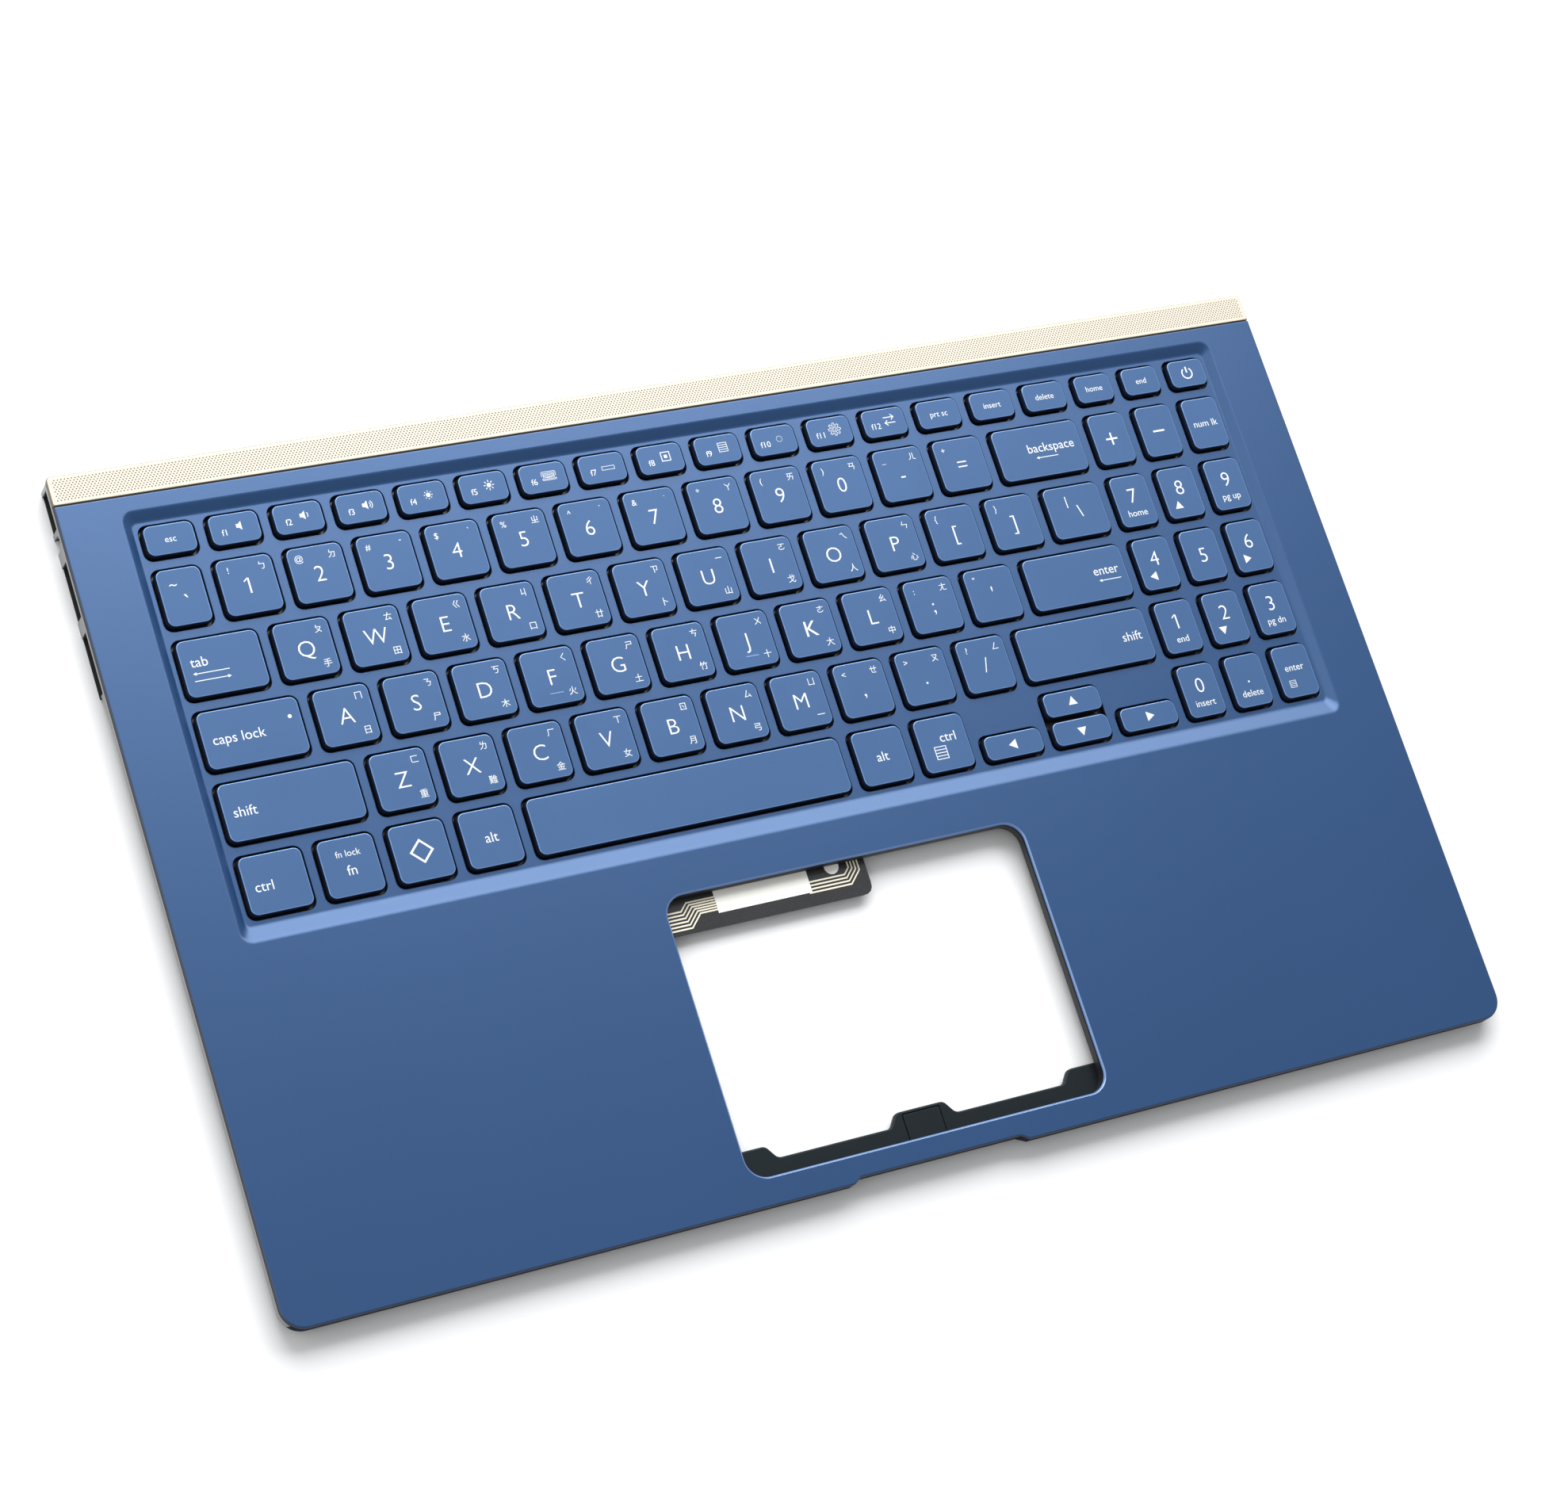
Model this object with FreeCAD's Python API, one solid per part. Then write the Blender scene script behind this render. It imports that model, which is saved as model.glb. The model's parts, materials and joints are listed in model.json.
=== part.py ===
"""Laptop palm rest: the top case of a slim notebook with its keyboard in place.

Frame: millimetres, +X to the right, +Y to the rear, +Z up. The origin is below the middle of the deck, on the
surface that the part lies on: the rear rims of the side walls and the front standoffs rest there.
"""

import math
import os

import FreeCAD
import Part

Vector = FreeCAD.Vector
UP = Vector(0, 0, 1)

# Keyboard cells, one for each key, which tile the key field
LETTER_CELL = 18.7
PAD_CELL = 15.55
ROW_CELL = 19.05
FUNCTION_ROW_CELL = 12.05
BACKTICK_CELL = 15.55
BACKSPACE_CELL = 31.1
TAB_CELL = 25.1
CAPS_LOCK_CELL = 30.2
LEFT_SHIFT_CELL = 39.6
LEFT_CTRL_CELL = 20.3
ARROW_CELL = 21.4
NUMBER_ROW_SIGNS = 12
FUNCTION_COUNT = 16
PAD_COLUMNS = 3
LETTER_ROWS = 5

# Key caps
CAP_GAP = 3.6
ARROW_GAP = 1.1
CAP_HEIGHT = 2.2
CAP_ROOF = 1.5
CAP_SKIRT = 1.1
CAP_DRAFT = 0.35
CAP_CORNER = 1.3
CAP_BELOW_DECK = 0.1
HOLE_CLEARANCE = 0.6
TRAVEL = 1.4
PRESS_CLEARANCE = 0.1

# Rubber domes
DOME_FOOT = 5.2
DOME_CROWN = 3.2
DOME_CLEARANCE = 0.05

# Case shell
CASE_HEIGHT = 7.2
FRONT_WALL_HEIGHT = 3.6
SHEET = 1.0
WALL = 1.2
EDGE_CHAMFER = 0.5
FRONT_CORNER = 6.0
REAR_CORNER = 1.2
SIDE_MARGIN = 16.0
TALL_WALL = 39.0
WALL_TAPER = 23.0

# Keyboard well
WELL_DEPTH = 1.6
WELL_CORNER = 3.0
WELL_FOOT_CORNER = 1.5
WELL_SIDE_SLOPE = 2.15
WELL_REAR_SLOPE = 2.5
WELL_FRONT_SLOPE = 3.8
WELL_FRONT_FLAT = 0.4
WELL_REAR_MARGIN = 4.5
RIB_WIDTH = 1.6

# Speaker strip
STRIP_DEPTH = 8.0
STRIP_THICKNESS = 1.0
STRIP_LEDGE = 0.8
STRIP_SEAM = 0.1

# Touchpad window
WINDOW_WIDTH = 104.8
WINDOW_DEPTH = 74.9
WINDOW_CORNER = 5.5
WINDOW_REAR_GAP = 11.2
WINDOW_FRONT_GAP = 7.4
RIM_WALL = 1.0

# Finger notch in the front edge
NOTCH_LENGTH = 52.0
NOTCH_DEPTH = 1.4
NOTCH_END = 3.0

# Port notches in the side walls, each with its start and end measured from the rear edge
PORT_HEIGHT = 4.7
LEFT_PORTS = ((2.5, 13.0), (21.8, 36.6), (40.7, 57.0))
RIGHT_PORTS = ((8.0, 22.0), (40.7, 57.0))
LEFT_LIGHT_HOLE = 16.2
RIGHT_AUDIO_HOLE = 30.0
SMALL_HOLE_RADIUS = 1.85

# Hinge openings in the rear wall
HINGE_OPENING = 44.0
HINGE_FROM_MIDDLE = 122.0

# Membrane, its label and the key plate
MEMBRANE = 0.3
PLATE = 0.6
PLATE_SIDE_INSET = 1.4
FLAP_LEFT = 58.0
FLAP_RIGHT = 7.0
FLAP_REACH = 9.6
FLAP_CORNER = 2.6
PLATE_INSET = 0.6
LABEL = 0.1
LABEL_LEFT = 37.0
LABEL_RIGHT = 10.0
LABEL_DEPTH = 12.0
LABEL_REACH = 5.9
RIM_CLEARANCE = 0.1

# Rivets through plate and membrane
RIVET_SHANK = 1.4
RIVET_HEAD_WIDTH = 3.0
RIVET_HEAD = 0.4
RIVET_SIDES = 6
RIVET_CLEARANCE = 0.1
RIVETS_PER_LINE = 2
RIVET_PITCH = 190.0

# Touchpad bracket
BRACKET = 1.6
BRACKET_OVERHANG = 6.0
BRACKET_UNDER_DECK = 4.4
RAIL_REACH = 4.6
TAB_REACH = 8.2
SIDE_TAB_WIDTH = 8.0
CENTRE_TAB_WIDTH = 14.0
TAB_SLANT = 2.5
PAD_SIDE = 10.6
PAD_DEPTH = 8.0
PAD_THICKNESS = 0.5
PAD_GROOVE = 0.3
PAD_FROM_TIP = 1.0

# Hexagonal brass standoffs for M2 screws
STANDOFF_WIDTH = 4.4
STANDOFF_SIDES = 6
STANDOFF_BORE = 0.8
STANDOFF_BORE_DEPTH = 4.0
STANDOFF_FROM_SIDE = 8.5
STANDOFF_FROM_FRONT = 10.0
STANDOFF_FROM_REAR = 20.0
HINGE_STANDOFF_PITCH = 25.0
HINGE_STANDOFF_LENGTH = 3.6

# Sizes that follow from those above
MAIN_WIDTH = BACKTICK_CELL + NUMBER_ROW_SIGNS * LETTER_CELL + BACKSPACE_CELL
FIELD_WIDTH = MAIN_WIDTH + PAD_COLUMNS * PAD_CELL
FIELD_DEPTH = FUNCTION_ROW_CELL + LETTER_ROWS * ROW_CELL
WELL_WIDTH = FIELD_WIDTH + 2 * WELL_SIDE_SLOPE
WELL_LENGTH = WELL_REAR_SLOPE + FIELD_DEPTH + WELL_FRONT_FLAT + WELL_FRONT_SLOPE
CASE_WIDTH = WELL_WIDTH + 2 * SIDE_MARGIN
PALM_DEPTH = WINDOW_REAR_GAP + WINDOW_DEPTH + WINDOW_FRONT_GAP
CASE_DEPTH = STRIP_DEPTH + WELL_REAR_MARGIN + WELL_LENGTH + PALM_DEPTH

HALF_WIDTH = CASE_WIDTH / 2
REAR = CASE_DEPTH / 2
FRONT = -REAR
STRIP_FRONT = REAR - STRIP_DEPTH
WELL_REAR = STRIP_FRONT - WELL_REAR_MARGIN
WELL_FRONT = WELL_REAR - WELL_LENGTH
FIELD_REAR = WELL_REAR - WELL_REAR_SLOPE
FIELD_FRONT = FIELD_REAR - FIELD_DEPTH
FIELD_LEFT = -FIELD_WIDTH / 2
WINDOW_REAR = WELL_FRONT - WINDOW_REAR_GAP
WINDOW_FRONT = WINDOW_REAR - WINDOW_DEPTH
HALF_WINDOW = WINDOW_WIDTH / 2

DECK_UNDERSIDE = CASE_HEIGHT - SHEET
FRONT_RIM = CASE_HEIGHT - FRONT_WALL_HEIGHT
WELL_FLOOR = CASE_HEIGHT - WELL_DEPTH
WELL_UNDERSIDE = WELL_FLOOR - SHEET
CAP_TOP = CASE_HEIGHT - CAP_BELOW_DECK
CAP_BOTTOM = CAP_TOP - CAP_HEIGHT
MEMBRANE_TOP = CAP_BOTTOM - TRAVEL - PRESS_CLEARANCE
PLATE_TOP = MEMBRANE_TOP - MEMBRANE
PLATE_BOTTOM = PLATE_TOP - PLATE
RIM_BOTTOM = MEMBRANE_TOP + LABEL + RIM_CLEARANCE
BRACKET_BOTTOM = RIM_BOTTOM - BRACKET
STRIP_SEAT = CASE_HEIGHT - STRIP_THICKNESS
LEDGE_BOTTOM = STRIP_SEAT - STRIP_LEDGE


def corner_arc(x, y, z, radius, turn):
    """A quarter circle about a point, anticlockwise from turn."""
    return Part.makeCircle(radius, Vector(x, y, z), UP, turn, turn + 90)


def closed_wire(bends):
    """A closed wire that goes round its bends in order, with a straight line from each to the next."""
    edges = []
    for bend, following in zip(bends, bends[1:] + bends[:1]):
        end = bend.valueAt(bend.LastParameter)
        edges += [bend, Part.makeLine(end, following.valueAt(following.FirstParameter))]
    return Part.Wire(edges)


def rounded_wire(left, front, right, rear, z, radius):
    """A rectangle in plan with rounded corners."""
    spots = [
        (left + radius, front + radius, 180),
        (right - radius, front + radius, 270),
        (right - radius, rear - radius, 0),
        (left + radius, rear - radius, 90),
    ]
    return closed_wire([corner_arc(x, y, z, radius, turn) for x, y, turn in spots])


def polygon(points, z):
    """A closed wire through points in plan."""
    corners = [Vector(x, y, z) for x, y in points]
    return Part.makePolygon(corners + corners[:1])


def raised(wire, height):
    """A flat closed wire pulled straight up."""
    return Part.Face(wire).extrude(UP * height)


def between(lower, upper):
    """The solid that runs straight from one wire to another."""
    return Part.makeLoft([lower, upper], True, True)


def box(left, front, bottom, right, rear, top):
    """A block from its lowest to its highest corner."""
    return Part.makeBox(right - left, rear - front, top - bottom, Vector(left, front, bottom))


def tapered(lower, bottom, upper, top):
    """A solid with flat sides, from a plan of points at its bottom to one with as many points at its top."""
    low = [Vector(x, y, bottom) for x, y in lower]
    high = [Vector(x, y, top) for x, y in upper]
    faces = [Part.Face(polygon(lower, bottom)), Part.Face(polygon(upper, top))]
    for here in range(len(low)):
        ahead = (here + 1) % len(low)
        side = [low[here], low[ahead], high[ahead], high[here], low[here]]
        faces.append(Part.Face(Part.makePolygon(side)))
    return Part.makeSolid(Part.makeShell(faces))


def tile(rectangle, inset, corner):
    """The plan of a rectangle, drawn in by inset, with its corners cut off."""
    left, front, right, rear = drawn_in(rectangle, inset)
    return [
        (left + corner, front),
        (right - corner, front),
        (right, front + corner),
        (right, rear - corner),
        (right - corner, rear),
        (left + corner, rear),
        (left, rear - corner),
        (left, front + corner),
    ]


def square(x, y, side):
    """The plan of a square about a point."""
    half = side / 2
    return [(x - half, y - half), (x + half, y - half), (x + half, y + half), (x - half, y + half)]


def regular(x, y, across, sides):
    """The plan of a regular polygon about a point, by its width across flats."""
    radius = across / 2 / math.cos(math.pi / sides)
    turns = [2 * math.pi * (i + 0.5) / sides for i in range(sides)]
    return [(x + radius * math.cos(turn), y + radius * math.sin(turn)) for turn in turns]


def drawn_in(rectangle, inset):
    """A rectangle with every side moved in."""
    left, front, right, rear = rectangle
    return left + inset, front + inset, right - inset, rear - inset


def middle(rectangle):
    """The middle of a rectangle in plan."""
    left, front, right, rear = rectangle
    return (left + right) / 2, (front + rear) / 2


def key_rows():
    """Each row from the rear: its depth, then its keys' nodes and cell widths. None takes the room left."""
    function_cell = MAIN_WIDTH / FUNCTION_COUNT
    pad = [("number_pad_keys", PAD_CELL)] * PAD_COLUMNS
    top_pad = [("function_keys", PAD_CELL)] * (PAD_COLUMNS - 1) + [("key_power", PAD_CELL)]

    def letters(names):
        return [("key_" + name, LETTER_CELL) for name in names]

    def marks(count):
        return [("punctuation_keys", LETTER_CELL)] * count

    number_row = [("key_backtick", BACKTICK_CELL)]
    number_row += [("number_row_keys", LETTER_CELL)] * NUMBER_ROW_SIGNS + [("key_backspace", None)]
    top_row = [("key_tab", TAB_CELL)] + letters("qwertyuiop") + marks(2) + [("key_backslash", None)]
    home_row = [("key_caps_lock", CAPS_LOCK_CELL)] + letters("asdfghjkl") + marks(2)
    home_row += [("key_enter", None)]
    low_row = [("key_left_shift", LEFT_SHIFT_CELL)] + letters("zxcvbnm") + marks(3)
    low_row += [("key_right_shift", None)]
    space_row = [("key_left_ctrl", LEFT_CTRL_CELL)] + letters(["fn", "system", "left_alt"])
    space_row += [("key_space", None)] + letters(["right_alt", "right_ctrl"])
    space_row += [(name, ARROW_CELL) for name in ("key_arrow_left", "key_arrow_up", "key_arrow_right")]
    return [
        (FUNCTION_ROW_CELL, [("function_keys", function_cell)] * FUNCTION_COUNT + top_pad),
        (ROW_CELL, number_row + pad),
        (ROW_CELL, top_row + pad),
        (ROW_CELL, home_row + pad),
        (ROW_CELL, low_row + pad),
        (ROW_CELL, space_row + pad),
    ]


def key_cells():
    """The node and the plan rectangle of each key cell, row by row."""
    cells = []
    rear = FIELD_REAR
    for depth, keys in key_rows():
        spare = FIELD_WIDTH - sum(width for _, width in keys if width)
        left = FIELD_LEFT
        for node, width in keys:
            right = left + (width or spare)
            cells.append((node, (left, rear - depth, right, rear)))
            left = right
        rear -= depth
    return cells


def cap_places():
    """The node and the plan rectangle of each cap. Arrow caps are half as deep; up and down share a cell."""
    places = []
    for node, cell in key_cells():
        left, front, right, rear = drawn_in(cell, CAP_GAP / 2)
        half = (rear - front - ARROW_GAP) / 2
        if not node.startswith("key_arrow"):
            places.append((node, (left, front, right, rear)))
            continue
        if node == "key_arrow_up":
            places.append((node, (left, rear - half, right, rear)))
            node = "key_arrow_down"
        places.append((node, (left, front, right, front + half)))
    return places


def hole_places():
    """The plan rectangle of each hole in the well floor. Up and down share one."""
    holes = []
    for node, place in cap_places():
        left, front, right, rear = place
        if node == "key_arrow_up":
            front -= rear - front + ARROW_GAP
        if node != "key_arrow_down":
            holes.append(drawn_in((left, front, right, rear), -HOLE_CLEARANCE))
    return holes


def cap_body(place):
    """A cap's tapered outside."""
    return tapered(tile(place, 0, CAP_CORNER), CAP_BOTTOM, tile(place, CAP_DRAFT, CAP_CORNER), CAP_TOP)


def moving_cap(place):
    """A cap hollowed from below, with the pocket that takes its dome."""
    left, front, right, rear = drawn_in(place, CAP_SKIRT)
    pocket = box(left, front, CAP_BOTTOM, right, rear, CAP_TOP - CAP_ROOF)
    return cap_body(place).cut(pocket)


def dome(place, top):
    """A rubber dome that stands on the membrane under the middle of a cap."""
    x, y = middle(place)
    return tapered(square(x, y, DOME_FOOT), MEMBRANE_TOP, square(x, y, DOME_CROWN), top)


def row_lines():
    """Y of each line between two rows, and of the key field's rear and front."""
    lines = [FIELD_REAR]
    for depth, _ in key_rows():
        lines.append(lines[-1] - depth)
    return lines


def case_wire(inset, z):
    """The case's outline moved in, with round front corners and rear corners cut off."""
    left, front, right, rear = drawn_in((-HALF_WIDTH, FRONT, HALF_WIDTH, REAR), inset)
    radius = FRONT_CORNER - inset
    bends = [
        corner_arc(left + radius, front + radius, z, radius, 180),
        corner_arc(right - radius, front + radius, z, radius, 270),
        Part.makeLine(Vector(right, rear - REAR_CORNER, z), Vector(right - REAR_CORNER, rear, z)),
        Part.makeLine(Vector(left + REAR_CORNER, rear, z), Vector(left, rear - REAR_CORNER, z)),
    ]
    return closed_wire(bends)


def case_outside():
    """The whole outer block, with its top edge chamfered."""
    block = raised(case_wire(0, 0), CASE_HEIGHT)
    top_edges = [edge for edge in block.Edges if edge.BoundBox.ZMin > DECK_UNDERSIDE]
    return block.makeChamfer(EDGE_CHAMFER, top_edges)


def case_shell():
    """The case as a box open below, with walls cut to their side profile: tall at the rear, low in front."""
    taper_rear = REAR - TALL_WALL
    taper_front = taper_rear - WALL_TAPER
    profile = [(FRONT, 0), (taper_rear, 0), (taper_front, FRONT_RIM), (FRONT, FRONT_RIM)]
    corners = [Vector(-HALF_WIDTH, y, z) for y, z in profile]
    trim = Part.Face(Part.makePolygon(corners + corners[:1])).extrude(Vector(CASE_WIDTH, 0, 0))
    return case_outside().cut([raised(case_wire(WALL, 0), DECK_UNDERSIDE), trim])


def well_hollow():
    """The space above the well's floor, between its sloping sides."""
    half = WELL_WIDTH / 2
    rim = rounded_wire(-half, WELL_FRONT, half, WELL_REAR, CASE_HEIGHT, WELL_CORNER)
    foot_half = half - WELL_SIDE_SLOPE
    foot_front = WELL_FRONT + WELL_FRONT_SLOPE
    foot_rear = WELL_REAR - WELL_REAR_SLOPE
    foot = rounded_wire(-foot_half, foot_front, foot_half, foot_rear, WELL_FLOOR, WELL_FOOT_CORNER)
    return between(foot, rim)


def with_well(body):
    """Adds the pan of the keyboard well with the ribs below its webs, and pierces its floor for the keys."""
    half = WELL_WIDTH / 2
    pan = box(-half, WELL_FRONT, WELL_UNDERSIDE, half, WELL_REAR, DECK_UNDERSIDE)
    ribs = []
    for y in row_lines():
        side = RIB_WIDTH / 2
        ribs.append(box(FIELD_LEFT, y - side, MEMBRANE_TOP, -FIELD_LEFT, y + side, WELL_UNDERSIDE))
    body = body.fuse([pan] + ribs)
    plans = [polygon(tile(place, 0, CAP_CORNER), WELL_UNDERSIDE) for place in hole_places()]
    holes = [raised(plan, SHEET) for plan in plans]
    return body.cut([well_hollow()] + holes)


def window_wire(grow, z):
    """The touchpad window's outline, made larger all round."""
    radius = WINDOW_CORNER + grow
    side = HALF_WINDOW + grow
    return rounded_wire(-side, WINDOW_FRONT - grow, side, WINDOW_REAR + grow, z, radius)


def with_window(body):
    """Opens the touchpad window, with a rim below its edge and a chamfer on top."""
    rim = raised(window_wire(RIM_WALL, RIM_BOTTOM), DECK_UNDERSIDE - RIM_BOTTOM)
    opening = raised(window_wire(0, RIM_BOTTOM), CASE_HEIGHT - RIM_BOTTOM)
    chamfer = between(window_wire(0, CASE_HEIGHT - EDGE_CHAMFER), window_wire(EDGE_CHAMFER, CASE_HEIGHT))
    return body.fuse(rim).cut([opening, chamfer])


def with_strip_seat(body):
    """Lowers the rear edge of the deck to a ledge that the speaker strip lies on."""
    side = HALF_WIDTH - WALL
    ledge = box(-side, STRIP_FRONT - SHEET, LEDGE_BOTTOM, side, REAR - WALL, STRIP_SEAT)
    seat = box(-HALF_WIDTH, STRIP_FRONT, STRIP_SEAT, HALF_WIDTH, REAR, CASE_HEIGHT)
    return body.fuse(ledge).cut(seat)


def with_finger_notch(body):
    """Thickens the front wall at its middle and cuts the notch that a finger lifts the lid by."""
    half = NOTCH_LENGTH / 2
    back = FRONT + NOTCH_DEPTH
    wall = box(-half - WALL, FRONT + WALL, FRONT_RIM, half + WALL, back + WALL, DECK_UNDERSIDE)
    points = [(-half, FRONT), (half, FRONT), (half - NOTCH_END, back), (NOTCH_END - half, back)]
    notch = raised(polygon(points, FRONT_RIM), FRONT_WALL_HEIGHT)
    return body.fuse(wall).cut(notch)


def side_notch(side, span, top):
    """A cut through one side wall from its lower rim, with its span measured from the rear edge."""
    near, far = span
    inner, outer = sorted((side * (HALF_WIDTH - WALL), side * HALF_WIDTH))
    return box(inner, REAR - far, 0, outer, REAR - near, top)


def side_hole(side, from_rear):
    """A small round-topped hole that is open at the wall's lower rim."""
    inner = min(side * HALF_WIDTH, side * (HALF_WIDTH - WALL))
    start = Vector(inner, REAR - from_rear, PORT_HEIGHT - SMALL_HOLE_RADIUS)
    hole = Part.makeCylinder(SMALL_HOLE_RADIUS, WALL, start, Vector(1, 0, 0))
    span = (from_rear - SMALL_HOLE_RADIUS, from_rear + SMALL_HOLE_RADIUS)
    return hole.fuse(side_notch(side, span, start.z))


def with_ports(body):
    """Cuts the port notches into both side walls and the hinge openings into the rear wall."""
    cuts = [side_notch(-1, span, PORT_HEIGHT) for span in LEFT_PORTS]
    cuts += [side_notch(1, span, PORT_HEIGHT) for span in RIGHT_PORTS]
    cuts += [side_hole(-1, LEFT_LIGHT_HOLE), side_hole(1, RIGHT_AUDIO_HOLE)]
    half = HINGE_OPENING / 2
    for x in (-HINGE_FROM_MIDDLE, HINGE_FROM_MIDDLE):
        cuts.append(box(x - half, REAR - WALL, 0, x + half, REAR, LEDGE_BOTTOM))
    return body.cut(cuts)


def top_case():
    """The one-piece shell: deck, walls, keyboard well and touchpad window."""
    body = with_window(with_well(case_shell()))
    return with_ports(with_finger_notch(with_strip_seat(body))).removeSplitter()


def speaker_strip():
    """The strip that lies flush in the rear edge of the deck and carries on its outline."""
    front = STRIP_FRONT + STRIP_SEAM
    return case_outside().common(box(-HALF_WIDTH, front, STRIP_SEAT, HALF_WIDTH, REAR, CASE_HEIGHT))


def module_sheet(bottom, thickness, inset):
    """A sheet below the whole key field, with a tongue that reaches into the touchpad window."""
    half = FIELD_WIDTH / 2 - PLATE_SIDE_INSET
    edge = RIB_WIDTH / 2
    field = tile((-half, FIELD_FRONT - edge, half, FIELD_REAR + edge), 0, WELL_FOOT_CORNER)
    tip = WINDOW_REAR - FLAP_REACH + inset
    root = FIELD_FRONT + 2 * FLAP_CORNER
    tongue = tile((inset - FLAP_LEFT, tip, FLAP_RIGHT - inset, root), 0, FLAP_CORNER)
    sheets = [raised(polygon(plan, bottom), thickness) for plan in (field, tongue)]
    return sheets[0].fuse(sheets[1]).removeSplitter()


def rivet_places():
    """Where the rivets stand: on two lines between rows, spread evenly about the middle."""
    lines = row_lines()
    offsets = [(i - (RIVETS_PER_LINE - 1) / 2) * RIVET_PITCH for i in range(RIVETS_PER_LINE)]
    return [(x, y) for y in (lines[1], lines[-2]) for x in offsets]


def rivet_plan(place, width, z):
    """A rivet's outline at one height."""
    return polygon(regular(*place, width, RIVET_SIDES), z)


def rivet_holes(bottom, thickness):
    """Clear holes for the rivets in one sheet."""
    width = RIVET_SHANK + 2 * RIVET_CLEARANCE
    return [raised(rivet_plan(place, width, bottom), thickness) for place in rivet_places()]


def key_membrane():
    """The film with the key contacts."""
    return module_sheet(PLATE_TOP, MEMBRANE, 0).cut(rivet_holes(PLATE_TOP, MEMBRANE))


def key_plate():
    """The steel sheet that carries the keyboard."""
    return module_sheet(PLATE_BOTTOM, PLATE, PLATE_INSET).cut(rivet_holes(PLATE_BOTTOM, PLATE))


def membrane_label():
    """The bare label on the membrane's tongue."""
    front = WINDOW_REAR - LABEL_REACH
    return box(-LABEL_LEFT, front, MEMBRANE_TOP, -LABEL_RIGHT, front + LABEL_DEPTH, MEMBRANE_TOP + LABEL)


def plate_rivets():
    """Headed pins that hold plate and membrane up against the ribs."""
    rivets = []
    for place in rivet_places():
        shank = raised(rivet_plan(place, RIVET_SHANK, PLATE_BOTTOM), MEMBRANE_TOP - PLATE_BOTTOM)
        head = raised(rivet_plan(place, RIVET_HEAD_WIDTH, PLATE_BOTTOM - RIVET_HEAD), RIVET_HEAD)
        rivets.append(shank.fuse(head).removeSplitter())
    return Part.makeCompound(rivets)


def pad_place(grow):
    """The plan of the pad on the bracket's centre tab, made larger all round."""
    rear = WINDOW_FRONT + TAB_REACH - PAD_FROM_TIP
    return drawn_in((-PAD_SIDE / 2, rear - PAD_DEPTH, PAD_SIDE / 2, rear), -grow)


def touchpad_bracket():
    """The rail under the window's front edge, with a tab at each end and one in the middle."""
    end = HALF_WINDOW + BRACKET_OVERHANG
    front = WINDOW_FRONT - BRACKET_UNDER_DECK
    rail = WINDOW_FRONT + RAIL_REACH
    tip = WINDOW_FRONT + TAB_REACH
    side = HALF_WINDOW - SIDE_TAB_WIDTH
    centre = CENTRE_TAB_WIDTH / 2
    right = [
        (end, front),
        (end, tip),
        (side, tip),
        (side - TAB_SLANT, rail),
        (centre + TAB_SLANT, rail),
        (centre, tip),
    ]
    left = [(-x, y) for x, y in reversed(right)]
    body = raised(polygon(right + left, BRACKET_BOTTOM), BRACKET)
    recess = polygon(tile(pad_place(PAD_GROOVE), 0, PAD_GROOVE), RIM_BOTTOM - PAD_THICKNESS)
    return body.cut(raised(recess, PAD_THICKNESS))


def bracket_pad():
    """The square pad that lies flush in the bracket's centre tab, with a groove around it."""
    plan = tile(pad_place(0), 0, PAD_GROOVE)
    return raised(polygon(plan, RIM_BOTTOM - PAD_THICKNESS), PAD_THICKNESS)


def standoff(x, y, bottom, top):
    """A brass post with a screw hole in its lower end."""
    post = raised(polygon(regular(x, y, STANDOFF_WIDTH, STANDOFF_SIDES), bottom), top - bottom)
    depth = min(STANDOFF_BORE_DEPTH, top - bottom - STANDOFF_BORE)
    return post.cut(Part.makeCylinder(STANDOFF_BORE, depth, Vector(x, y, bottom)))


def brass_standoffs():
    """Four corner posts for the bottom cover and a pair of short ones for each hinge."""
    x = HALF_WIDTH - STANDOFF_FROM_SIDE
    posts = []
    for side in (-1, 1):
        for y in (FRONT + STANDOFF_FROM_FRONT, REAR - STANDOFF_FROM_REAR):
            posts.append(standoff(side * x, y, 0, DECK_UNDERSIDE))
        for end in (-1, 1):
            hinge_x = side * HINGE_FROM_MIDDLE + end * HINGE_STANDOFF_PITCH / 2
            hinge_y = STRIP_FRONT + STRIP_DEPTH / 2 - WALL / 2
            posts.append(standoff(hinge_x, hinge_y, LEDGE_BOTTOM - HINGE_STANDOFF_LENGTH, LEDGE_BOTTOM))
    return Part.makeCompound(posts)


def keys_and_domes():
    """Each moving key as a node, the like keys with their domes in four nodes, and the moving keys' domes."""
    nodes = {}
    fixed = {}
    domes = []
    for node, place in cap_places():
        if node.startswith("key_"):
            nodes[node] = moving_cap(place)
            domes.append(dome(place, CAP_TOP - CAP_ROOF - DOME_CLEARANCE))
        else:
            key = cap_body(place).fuse(dome(place, CAP_BOTTOM))
            fixed.setdefault(node, []).append(key)
    nodes.update({node: Part.makeCompound(keys) for node, keys in fixed.items()})
    nodes["rubber_domes"] = Part.makeCompound(domes)
    return nodes


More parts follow.
